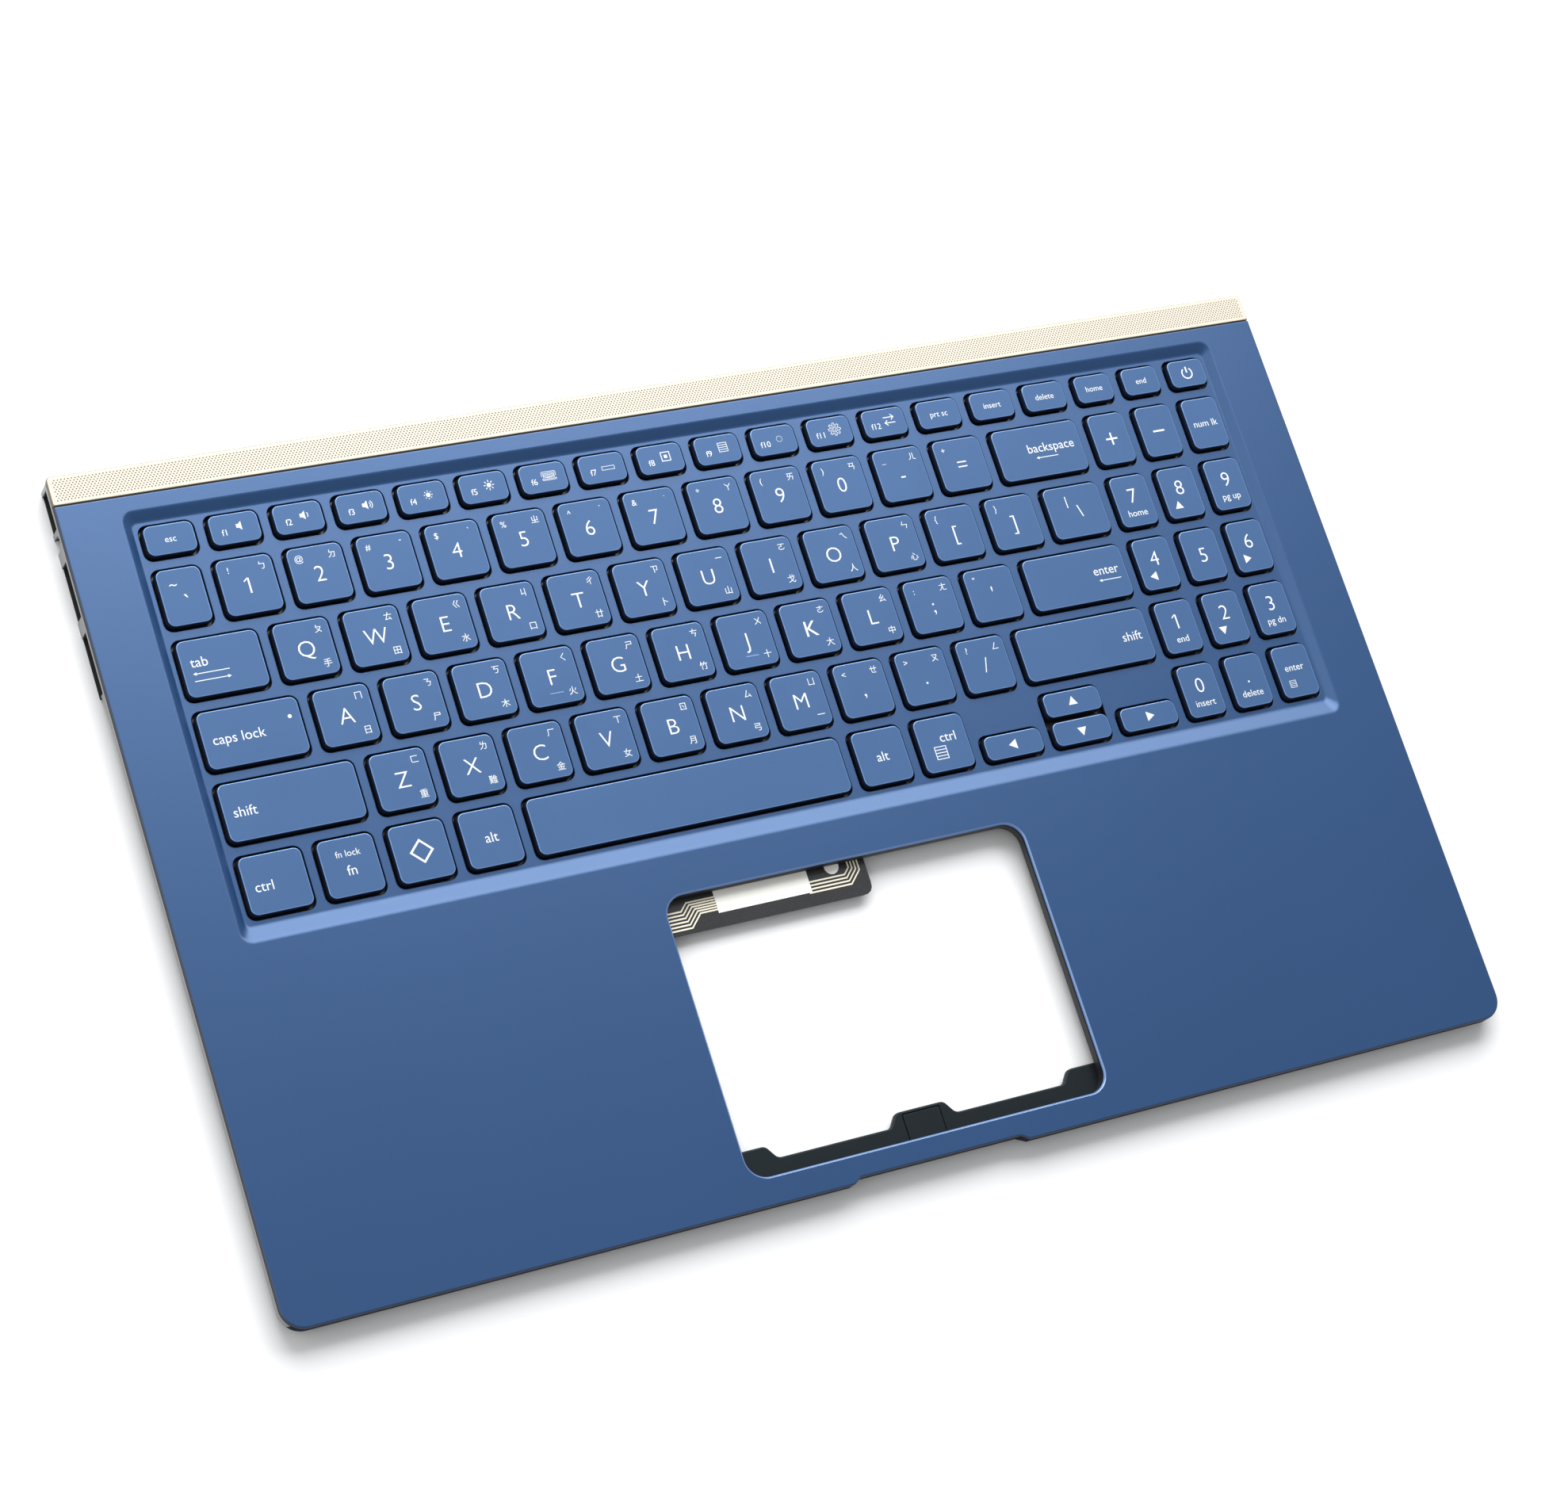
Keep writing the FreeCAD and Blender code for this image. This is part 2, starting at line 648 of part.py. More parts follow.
def main():
    nodes = keys_and_domes()
    nodes["top_case"] = top_case()
    nodes["speaker_strip"] = speaker_strip()
    nodes["key_membrane"] = key_membrane()
    nodes["key_plate"] = key_plate()
    nodes["membrane_label"] = membrane_label()
    nodes["plate_rivets"] = plate_rivets()
    nodes["touchpad_bracket"] = touchpad_bracket()
    nodes["bracket_pad"] = bracket_pad()
    nodes["brass_standoffs"] = brass_standoffs()
    os.makedirs("parts", exist_ok=True)
    for name, shape in nodes.items():
        shape.exportStep("parts/" + name + ".step")
        print(name, len(shape.Solids), "solids", round(shape.Volume, 1), "mm3", shape.isValid())


main()
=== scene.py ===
# %% [markdown]
# # A laptop palm rest, dressed over its CAD model
# The real object is the top half of a slim notebook's base: a thin blue metal deck with a sunk keyboard, a window for
# the touchpad and a pale speaker strip along its rear edge. The CAD model already says where each piece is and how
# each key moves, so this lesson keeps to its places. It rounds the edges, prints the keys and gives every piece its
# finish. The first cell loads the CAD model and hangs its pieces on their bodies.

import json
import math

import bmesh
import bpy
from mathutils import Matrix, Vector
from mathutils.geometry import tessellate_polygon

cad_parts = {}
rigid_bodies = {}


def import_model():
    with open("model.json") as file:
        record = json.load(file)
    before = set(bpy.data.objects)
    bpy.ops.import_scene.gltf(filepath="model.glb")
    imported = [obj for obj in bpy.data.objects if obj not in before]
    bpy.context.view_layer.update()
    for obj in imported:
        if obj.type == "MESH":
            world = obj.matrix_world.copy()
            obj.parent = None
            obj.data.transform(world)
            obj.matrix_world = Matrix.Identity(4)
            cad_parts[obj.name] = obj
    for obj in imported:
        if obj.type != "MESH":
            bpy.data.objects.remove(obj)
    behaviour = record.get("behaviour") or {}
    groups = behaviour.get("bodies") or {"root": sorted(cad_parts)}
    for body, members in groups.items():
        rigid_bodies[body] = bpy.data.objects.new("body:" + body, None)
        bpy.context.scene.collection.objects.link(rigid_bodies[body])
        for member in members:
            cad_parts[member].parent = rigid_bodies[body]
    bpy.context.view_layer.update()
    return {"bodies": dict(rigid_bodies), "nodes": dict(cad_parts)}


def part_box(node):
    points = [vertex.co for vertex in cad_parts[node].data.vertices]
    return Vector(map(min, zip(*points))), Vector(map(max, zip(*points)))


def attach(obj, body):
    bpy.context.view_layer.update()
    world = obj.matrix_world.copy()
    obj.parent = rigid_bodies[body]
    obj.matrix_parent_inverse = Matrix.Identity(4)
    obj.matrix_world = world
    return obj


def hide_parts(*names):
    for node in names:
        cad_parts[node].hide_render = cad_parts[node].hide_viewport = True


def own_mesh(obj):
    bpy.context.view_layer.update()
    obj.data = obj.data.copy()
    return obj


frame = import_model()
MM = 0.001

# %% [markdown]
# ## Camera
# The camera stands where the photographer stood. Its place, its turn and its lens were found by matching the four
# corners of the deck, the key rows and the window with the picture. A matrix built from the camera's own three
# directions says this more directly than three angles would, because the picture is also turned about its middle.

# %% Camera
EYE = Vector((-0.42401, -0.22293, 0.85238))
TO_THE_RIGHT = Vector((0.88465, -0.30168, 0.35550))
UPWARD = Vector((0.17900, 0.92379, 0.33849))
BACKWARD = Vector((-0.43053, -0.23580, 0.87123))
FOCAL_LENGTH = 85.703
SENSOR_WIDTH = 36.0

lens = bpy.data.cameras.new("camera")
lens.lens = FOCAL_LENGTH
lens.sensor_width = SENSOR_WIDTH
lens.sensor_fit = "HORIZONTAL"
camera = bpy.data.objects.new("camera", lens)
camera.matrix_world = Matrix.Translation(EYE) @ Matrix((TO_THE_RIGHT, UPWARD, BACKWARD)).transposed().to_4x4()
bpy.context.scene.collection.objects.link(camera)
bpy.context.scene.camera = camera

# %% [markdown]
# ## Two effects that every finish shares
# No real surface is one flat colour. Paint and plastic drift slightly in tone over a hand's width, and close up they
# have a fine grain that breaks the gloss. Both are built once, as shader node groups with named sockets, and each
# finish then places them with its own values. The groups put out a colour, a roughness and a height only; the shader
# stays in the material.

# %% Node group for drifting tone
def new_group(name, inputs, outputs):
    """An empty shader node group with its sockets, and its two end nodes."""
    group = bpy.data.node_groups.new(name, "ShaderNodeTree")
    for label, kind in inputs:
        group.interface.new_socket(label, in_out="INPUT", socket_type=kind)
    for label, kind in outputs:
        group.interface.new_socket(label, in_out="OUTPUT", socket_type=kind)
    return group, group.nodes.new("NodeGroupInput"), group.nodes.new("NodeGroupOutput")


def wire(tree, *pairs):
    """Links each output to the input that is named beside it."""
    for source, target in pairs:
        tree.links.new(source, target)


drifting_tone, tone_in, tone_out = new_group(
    "drifting_tone",
    [("Colour", "NodeSocketColor"), ("Other Colour", "NodeSocketColor"), ("Patch Scale", "NodeSocketFloat")],
    [("Colour", "NodeSocketColor")],
)
place = drifting_tone.nodes.new("ShaderNodeTexCoord")
cloud = drifting_tone.nodes.new("ShaderNodeTexNoise")
cloud.inputs["Detail"].default_value = 3.0
tint = drifting_tone.nodes.new("ShaderNodeMix")
tint.data_type = "RGBA"
wire(
    drifting_tone,
    (place.outputs["Object"], cloud.inputs["Vector"]),
    (tone_in.outputs["Patch Scale"], cloud.inputs["Scale"]),
    (cloud.outputs["Fac"], tint.inputs["Factor"]),
    (tone_in.outputs["Colour"], tint.inputs["A"]),
    (tone_in.outputs["Other Colour"], tint.inputs["B"]),
    (tint.outputs["Result"], tone_out.inputs["Colour"]),
)
print("node group", drifting_tone.name, "with", len(drifting_tone.nodes), "nodes")

# %% Node group for fine grain
fine_grain, grain_in, grain_out = new_group(
    "fine_grain",
    [("Grain Scale", "NodeSocketVector"), ("Smoothest", "NodeSocketFloat"), ("Roughest", "NodeSocketFloat")],
    [("Roughness", "NodeSocketFloat"), ("Height", "NodeSocketFloat")],
)
place = fine_grain.nodes.new("ShaderNodeTexCoord")
stretch = fine_grain.nodes.new("ShaderNodeVectorMath")
stretch.operation = "MULTIPLY"
specks = fine_grain.nodes.new("ShaderNodeTexNoise")
specks.inputs["Scale"].default_value = 1.0
specks.inputs["Detail"].default_value = 2.0
spread = fine_grain.nodes.new("ShaderNodeMapRange")
wire(
    fine_grain,
    (place.outputs["Object"], stretch.inputs[0]),
    (grain_in.outputs["Grain Scale"], stretch.inputs[1]),
    (stretch.outputs["Vector"], specks.inputs["Vector"]),
    (specks.outputs["Fac"], spread.inputs["Value"]),
    (grain_in.outputs["Smoothest"], spread.inputs["To Min"]),
    (grain_in.outputs["Roughest"], spread.inputs["To Max"]),
    (spread.outputs["Result"], grain_out.inputs["Roughness"]),
    (specks.outputs["Fac"], grain_out.inputs["Height"]),
)
print("node group", fine_grain.name, "with", len(fine_grain.nodes), "nodes")

# %% [markdown]
# ## Finishes
# A finish is the two groups feeding one Principled shader. The values tell the materials apart: the deck is a blue
# metal coat that shines softly, the caps are a blue plastic with a glossy rim, the strip is pale gold, the film is
# glossy black. Some finishes paint light and shade: the caps' rims are painted lighter as a highlight and their sides
# darker as shade, the lower part of the deck's rounded edge and the dark navy sides are painted shade, the strip's pits
# are painted darker as shade, the window chamfer's light blue is partly the cut metal's own tone and partly a painted
# highlight, and the near-black of the port sleeves is partly their own colour and partly painted shade. Grain is given
# in specks per metre along each axis, so brushed steel is only a grain that is long in one direction. Some coats also
# tint what they mirror; a table says how strongly and in which colour.

# %% Finishes
GRAIN_HEIGHT = 0.02


def linear(red, green, blue):
    """A colour as a screen shows it, from 0 to 255, in the linear numbers that shaders use."""
    return tuple(((part / 255 + 0.055) / 1.055) ** 2.4 if part > 10 else part / 3295 for part in (red, green, blue))


def finish(name, colour, other, patches, grain=(4000.0,) * 3, rough=(0.4, 0.5), depth=0.1, metal=0.0):
    """A material whose tone drifts between two colours and whose grain varies its gloss."""
    material = bpy.data.materials.new(name)
    material.use_nodes = True
    nodes = material.node_tree.nodes
    shader = nodes["Principled BSDF"]
    shader.inputs["Metallic"].default_value = metal
    tone = nodes.new("ShaderNodeGroup")
    tone.node_tree = drifting_tone
    tone.inputs["Colour"].default_value = (*linear(*colour), 1.0)
    tone.inputs["Other Colour"].default_value = (*linear(*other), 1.0)
    tone.inputs["Patch Scale"].default_value = patches
    specks = nodes.new("ShaderNodeGroup")
    specks.node_tree = fine_grain
    specks.inputs["Grain Scale"].default_value = grain
    specks.inputs["Smoothest"].default_value, specks.inputs["Roughest"].default_value = rough
    bump = nodes.new("ShaderNodeBump")
    bump.inputs["Strength"].default_value = depth
    bump.inputs["Distance"].default_value = GRAIN_HEIGHT * MM
    wire(
        material.node_tree,
        (tone.outputs["Colour"], shader.inputs["Base Color"]),
        (specks.outputs["Roughness"], shader.inputs["Roughness"]),
        (specks.outputs["Height"], bump.inputs["Height"]),
        (bump.outputs["Normal"], shader.inputs["Normal"]),
    )
    return material


deck_blue = finish("deck_blue", (23, 51, 88), (28, 57, 95), 9.0, rough=(0.3, 0.38), depth=0.2)
# The lower part of the deck's rounded edge is painted dark grey as shade.
deck_edge_painted_shade = finish("deck_edge_painted_shade", (32, 42, 58), (38, 48, 65), 60.0, rough=(0.3, 0.4))
# The window chamfer's light blue is partly the cut metal's own tone and partly a painted highlight.
cut_chamfer_and_painted_highlight = finish("cut_chamfer_and_painted_highlight", (80, 111, 158), (88, 119, 166), 60.0, rough=(0.12, 0.18))
cap_blue = finish("cap_blue", (50, 76, 113), (56, 83, 121), 40.0, (6000.0,) * 3, rough=(0.36, 0.46), depth=0.3)
# The cap's rim is glossier and also painted lighter as a highlight.
cap_rim_painted_highlight = finish("cap_rim_painted_highlight", (86, 117, 162), (92, 124, 170), 60.0, rough=(0.14, 0.2))
# The cap's sides are painted dark navy as shade.
cap_side_painted_shade = finish("cap_side_painted_shade", (18, 30, 54), (22, 35, 60), 60.0)
print_white = finish("print_white", (204, 207, 208), (194, 198, 200), 400.0, rough=(0.5, 0.6))
strip_gold = finish("strip_gold", (191, 186, 173), (186, 179, 165), 12.0, rough=(0.34, 0.44))
# The strip's pits and the side of its edge are painted darker as shade.
strip_pit_painted_shade = finish("strip_pit_painted_shade", (112, 98, 79), (98, 86, 70), 60.0, rough=(0.5, 0.6))
# Dark navy sides are painted shade; their reflection is kept weak in the table below.
navy_painted_shade = finish("navy_painted_shade", (12, 20, 36), (16, 25, 42), 60.0, rough=(0.6, 0.75))
wall_silver = finish("wall_silver", (148, 148, 149), (132, 132, 134), 30.0, rough=(0.34, 0.46), metal=0.6)
frame_black = finish("frame_black", (17, 19, 23), (26, 28, 33), 60.0, (3000.0,) * 3, rough=(0.5, 0.65), depth=0.4)
# The sleeves' near-black is partly their own colour and partly painted shade.
port_black_and_painted_shade = finish("port_black_and_painted_shade", (5, 6, 8), (9, 10, 12), 60.0, rough=(0.6, 0.75))
film_black = finish("film_black", (20, 21, 24), (30, 31, 36), 90.0, rough=(0.22, 0.34))
trace_silver = finish("trace_silver", (228, 222, 202), (206, 200, 180), 300.0, rough=(0.4, 0.5))
rail_black = finish("rail_black", (7, 10, 13), (11, 15, 19), 50.0, (2500.0,) * 3, rough=(0.42, 0.58), depth=0.5)
dome_rubber = finish("dome_rubber", (196, 196, 190), (180, 180, 176), 200.0, rough=(0.55, 0.7))
rivet_zinc = finish("rivet_zinc", (176, 178, 180), (150, 152, 156), 300.0, rough=(0.25, 0.4), metal=0.95)
paper_fibres = (9000.0, 2500.0, 4000.0)
label_paper = finish("label_paper", (232, 232, 228), (222, 222, 216), 300.0, paper_fibres, rough=(0.6, 0.75), depth=0.3)
brushed = (150.0, 9000.0, 9000.0)
plate_steel = finish("plate_steel", (150, 152, 156), (128, 130, 136), 25.0, brushed, (0.28, 0.5), depth=0.3, metal=0.9)
turned = (9000.0, 9000.0, 400.0)
brass = finish("standoff_brass", (204, 168, 92), (182, 146, 74), 250.0, turned, (0.2, 0.34), depth=0.2, metal=1.0)

SHEENS = [
    (deck_blue, 1.0, (0.4, 0.6, 1.0)),
    (cap_blue, 0.5, (0.4, 0.62, 1.0)),
    (cap_rim_painted_highlight, 1.0, (0.6, 0.78, 1.0)),
    (cut_chamfer_and_painted_highlight, 1.0, (0.85, 0.93, 1.0)),
    (rail_black, 0.25, (0.7, 0.9, 1.0)),
    (navy_painted_shade, 0.1, (0.7, 0.85, 1.0)),
]
for material, strength, sheen in SHEENS:
    coat = material.node_tree.nodes["Principled BSDF"]
    coat.inputs["Specular IOR Level"].default_value = strength
    coat.inputs["Specular Tint"].default_value = (*sheen, 1.0)
print("finishes", len(bpy.data.materials))

# %% [markdown]
# ## A small kit for mesh pieces
# Most pieces here are sheets and caps: flat faces with rounded edges. A subdivided cube would give soft pillows, so
# each piece is drawn instead from rings of points, one ring for each height, with quads between the rings and flat
# covers at the ends. Flat covers keep flat shading and the quads are smooth, which gives crisp planes with soft
# edges. Each face is drawn with its finish. Sizes are in millimetres and become metres when the mesh is made.

# %% Rings and outlines
CORNER_STEPS = 5
EDGE_STEPS = 4


def ring(rectangle, radius, z, rear_radius=None, steps=CORNER_STEPS):
    """Points round a rectangle with rounded corners, anticlockwise from its front left corner."""
    left, front, right, rear = rectangle
    back = radius if rear_radius is None else rear_radius
    corners = [
        (left + radius, front + radius, radius, 180),
        (right - radius, front + radius, radius, 270),
        (right - back, rear - back, back, 0),
        (left + back, rear - back, back, 90),
    ]
    points = []
    for x, y, size, turn in corners:
        for step in range(steps + 1):
            angle = math.radians(turn + 90 * step / steps)
            points.append((x + size * math.cos(angle), y + size * math.sin(angle), z))
    return points


def circle(x, y, radius, sides, turn=0.0):
    """The corners of a regular outline in plan, the first of them at a turn in degrees from X."""
    angles = [math.radians(turn + 360 * step / sides) for step in range(sides)]
    return [(x + radius * math.cos(angle), y + radius * math.sin(angle)) for angle in angles]


def grown(rectangle, by):
    """A rectangle with every side moved out."""
    left, front, right, rear = rectangle
    return left - by, front - by, right + by, rear + by


def round_over(radius):
    """How far in and how far down each ring of a rounded top edge lies."""
    turns = [math.pi / 2 * step / EDGE_STEPS for step in range(EDGE_STEPS + 1)]
    return [(radius * (1 - math.sin(turn)), radius * (1 - math.cos(turn))) for turn in turns]


def softened(points, radius):
    """An outline with each corner replaced by a small curve."""
    curve = []
    for number, point in enumerate(points):
        here = Vector(point)
        before, after = Vector(points[number - 1]), Vector(points[(number + 1) % len(points)])
        start = here + (before - here).normalized() * radius
        end = here + (after - here).normalized() * radius
        for step in range(EDGE_STEPS + 1):
            t = step / EDGE_STEPS
            spot = start * (1 - t) ** 2 + here * (2 * t * (1 - t)) + end * t * t
            curve.append((spot.x, spot.y))
    return curve


def moved_in(points, by, z):
    """An outline with every point moved towards its inner side."""
    moved = []
    for number, point in enumerate(points):
        before, after = Vector(points[number - 1]), Vector(points[(number + 1) % len(points)])
        along = (after - before).normalized()
        moved.append((point[0] - along.y * by, point[1] + along.x * by, z))
    return moved


def place_of(node):
    """A CAD node's plan rectangle, bottom and top in millimetres."""
    low, high = (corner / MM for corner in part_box(node))
    return (low.x, low.y, high.x, high.y), low.z, high.z


print("outlines ready; a rounded edge has", len(round_over(1.0)), "rings")

# %% Pieces
WELD = 0.002


def welded(mesh):
    """A mesh opened for work, with points that lie together made one."""
    work = bmesh.new()
    work.from_mesh(mesh)
    bmesh.ops.remove_doubles(work, verts=work.verts, dist=WELD * MM)
    return work


def dressed(name, mesh, finishes, body="case"):
    """An object that shows a mesh in its finishes, riding on a CAD body."""
    for material in finishes:
        mesh.materials.append(material)
    piece = bpy.data.objects.new(name, mesh)
    bpy.context.scene.collection.objects.link(piece)
    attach(piece, body)
    return piece


class Piece:
    """A mesh in the making, with a finish for each face."""

    def __init__(self):
        self.points = []
        self.faces = []
        self.looks = []

    def add(self, points, faces, look, smooth=False):
        """Takes in points and faces of one finish."""
        start = len(self.points)
        self.points += points
        self.faces += [[start + corner for corner in face] for face in faces]
        self.looks += [(look, smooth)] * len(faces)

    def skin(self, rings, look, smooth=True):
        """Quads from each ring to the next."""
        count = len(rings[0])
        faces = []
        for row in range(len(rings) - 1):
            for here in range(count):
                ahead = (here + 1) % count
                low, high = row * count, (row + 1) * count
                faces.append((low + here, low + ahead, high + ahead, high + here))
        self.add([point for one in rings for point in one], faces, look, smooth)

    def cover(self, outline, look, holes=()):
        """A flat face inside an outline, with holes."""
        loops = [outline, *holes]
        faces = tessellate_polygon([[Vector(point) for point in loop] for loop in loops])
        self.add([point for loop in loops for point in loop], faces, look)

    def block(self, rings, look, smooth=True, holes=()):
        """A skin closed by a cover at each end. Only the first cover has holes."""
        self.skin(rings, look, smooth)
        self.cover(rings[0], look, holes)
        self.cover(rings[-1], look)

    def slab(self, outline, top, bottom, look, smooth=False):
        """A flat plate with straight sides."""
        self.block([[(point[0], point[1], z) for point in outline] for z in (top, bottom)], look, smooth)

    def make(self, name, slot, body="case"):
        """The finished object."""
        finishes = list(dict.fromkeys(look for look, _ in self.looks))
        number_of = {look: number for number, look in enumerate(finishes)}
        mesh = bpy.data.meshes.new(name)
        mesh.from_pydata([Vector(point) * MM for point in self.points], [], self.faces)
        mesh.polygons.foreach_set("material_index", [number_of[look] for look, _ in self.looks])
        mesh.polygons.foreach_set("use_smooth", [smooth for _, smooth in self.looks])
        work = welded(mesh)
        bmesh.ops.recalc_face_normals(work, faces=work.faces)
        work.to_mesh(mesh)
        work.free()
        return dressed(name, mesh, finishes, body)


print("mesh kit ready; points closer than", WELD, "mm become one")

# %% [markdown]
# ## The deck
# The deck is one sheet of metal. Its outer edge and the rim of the keyboard well are pressed round, the touchpad
# window is cut with a chamfer, and the front edge dips inwards so that a finger can lift the lid. The chamfer's light
# blue is partly the cut metal's own tone and partly a painted highlight. The lower part of the outer edge is painted
# dark grey and the straight sides of that edge and of the window dark navy, both as shade. One closed mesh follows the
# sheet from the outer edge over the top and down into the well. The floor of the well comes later, when the places of
# the keys are known.

# %% Outlines of the deck
case_plan, _, DECK_TOP = place_of("top_case")
strip_plan, STRIP_SEAT, _ = place_of("speaker_strip")
SEAM = 0.1
DECK_PLAN = (case_plan[0], case_plan[1], case_plan[2], strip_plan[1] - SEAM)
FRONT_CORNER = 6.0
FRONT_CORNER_STEPS = 8
REAR_CORNER = 0.4
EDGE_ROUND = 0.5
EDGE_FOOT = 6.0
DECK_UNDERSIDE = 6.2
WALL = 1.2
NOTCH_HALF = 26.0
NOTCH_END = 3.0
NOTCH_DEPTH = 1.4
NOTCH_STEPS = 8


def notch_line(y, z):
    """The front edge from left to right along the finger notch, with a smooth curve at each end."""
    points = []
    for step in range(NOTCH_STEPS + 1):
        share = step / NOTCH_STEPS
        points.append((NOTCH_END * share - NOTCH_HALF, y + NOTCH_DEPTH * share * share * (3 - 2 * share), z))
    return points + [(-x, depth, z) for x, depth, z in reversed(points)]


def deck_ring(inset, z):
    """The deck's outline, moved in."""
    plan = grown(DECK_PLAN, -inset)
    points = ring(plan, FRONT_CORNER - inset, z, REAR_CORNER, FRONT_CORNER_STEPS)
    first_corner = FRONT_CORNER_STEPS + 1
    return points[:first_corner] + notch_line(plan[1], z) + points[first_corner:]


print("deck", [round(side, 1) for side in DECK_PLAN], "mm, top at", round(DECK_TOP, 2))

# %% Outlines of the keyboard well and the window
WELL_RIM = (-161.0, -16.5, 161.0, 97.5)
WELL_RIM_CORNER = 3.0
WELL_SLOPE = (2.15, 3.8, 2.15, 2.5)
WELL_FOOT_CORNER = 1.5
WELL_FLOOR = 5.6
WELL_UNDERSIDE = 4.6
SOFTENING = 0.16
WINDOW = (-52.4, -102.6, 52.4, -27.7)
WINDOW_CORNER = 5.5
WINDOW_CORNER_STEPS = 10
WINDOW_RIM = 1.0


def well_ring(share, z):
    """The well's outline: 0 is the rim, 1 is the foot of the slope."""
    left, front, right, rear = WELL_RIM
    in_left, in_front, in_right, in_rear = (share * side for side in WELL_SLOPE)
    corner = WELL_RIM_CORNER + share * (WELL_FOOT_CORNER - WELL_RIM_CORNER)
    return ring((left + in_left, front + in_front, right - in_right, rear - in_rear), corner, z)


def slope_profile():
    """Where the well's side is and how high, rounded where it leaves the deck and where it meets the floor."""
    fall = DECK_TOP - WELL_FLOOR
    steps = [-1.0, -0.5, 0.0, 0.5, 1.0]
    upper = [(SOFTENING * s, DECK_TOP - fall * SOFTENING * (s + 1) ** 2 / 4) for s in steps]
    lower = [(1 + SOFTENING * s, WELL_FLOOR + fall * SOFTENING * (1 - s) ** 2 / 4) for s in steps]
    return upper + lower


def window_ring(grow, z):
    """The window's outline, made larger."""
    return ring(grown(WINDOW, grow), WINDOW_CORNER + grow, z, steps=WINDOW_CORNER_STEPS)


print("well slope has", len(slope_profile()), "rings")

# %% [markdown]
# ## The keys' places
# Each key that moves is a CAD node of its own, so its box says where its cap is. The other keys come in four groups,
# and each group is one node made of separate lumps. Welding a copy of the node's mesh and walking from point to point
# finds the lumps. Sorted from the rear and from the left, they come in reading order.

# %% Find each cap
GROUPS = ["function_keys", "number_row_keys", "punctuation_keys", "number_pad_keys"]
SAME_ROW = 5.0


def lumps(node):
    """The plan rectangle of each separate lump of a node, in reading order."""
    work = welded(frame["nodes"][node].data)
    waiting = set(work.verts)
    found = []
    while waiting:
        lump = set()
        reached = [waiting.pop()]
        while reached:
            corner = reached.pop()
            lump.add(corner)
            near = {line.other_vert(corner) for line in corner.link_edges} & waiting
            waiting -= near
            reached += near
        xs = [corner.co.x / MM for corner in lump]
        ys = [corner.co.y / MM for corner in lump]
        found.append((min(xs), min(ys), max(xs), max(ys)))
    work.free()
    return sorted(found, key=lambda plan: (-round(plan[1] / SAME_ROW), plan[0]))


group_caps = {node: lumps(node) for node in GROUPS}
moving_caps = {body: place_of(body)[0] for body in frame["bodies"] if body.startswith("key_")}
CAP_BOTTOM, CAP_TOP = place_of("key_q")[1:]
all_caps = [plan for plans in group_caps.values() for plan in plans] + list(moving_caps.values())
print("caps", len(all_caps), "of which", len(moving_caps), "move")

# %% [markdown]
# ## The deck sheet with its pierced well
# Now the sheet can be closed. Every cap has a hole in the well's floor with a thin dark gap around it, and the up and
# down arrows share one. The floor is a flat cover with all the holes in it; each hole gets a slightly broken edge
# and a wall down to the underside.

# %% Deck sheet
HOLE_CLEARANCE = 0.6
HOLE_CORNER = 2.3
HOLE_EDGE = 0.15


def hole_plans():
    """The rectangle of each hole in the well's floor."""
    up, down = moving_caps["key_arrow_up"], moving_caps["key_arrow_down"]
    shared = (down[0], down[1], up[2], up[3])
    others = [plan for plan in all_caps if plan not in (up, down)]
    return [grown(plan, HOLE_CLEARANCE) for plan in others + [shared]]


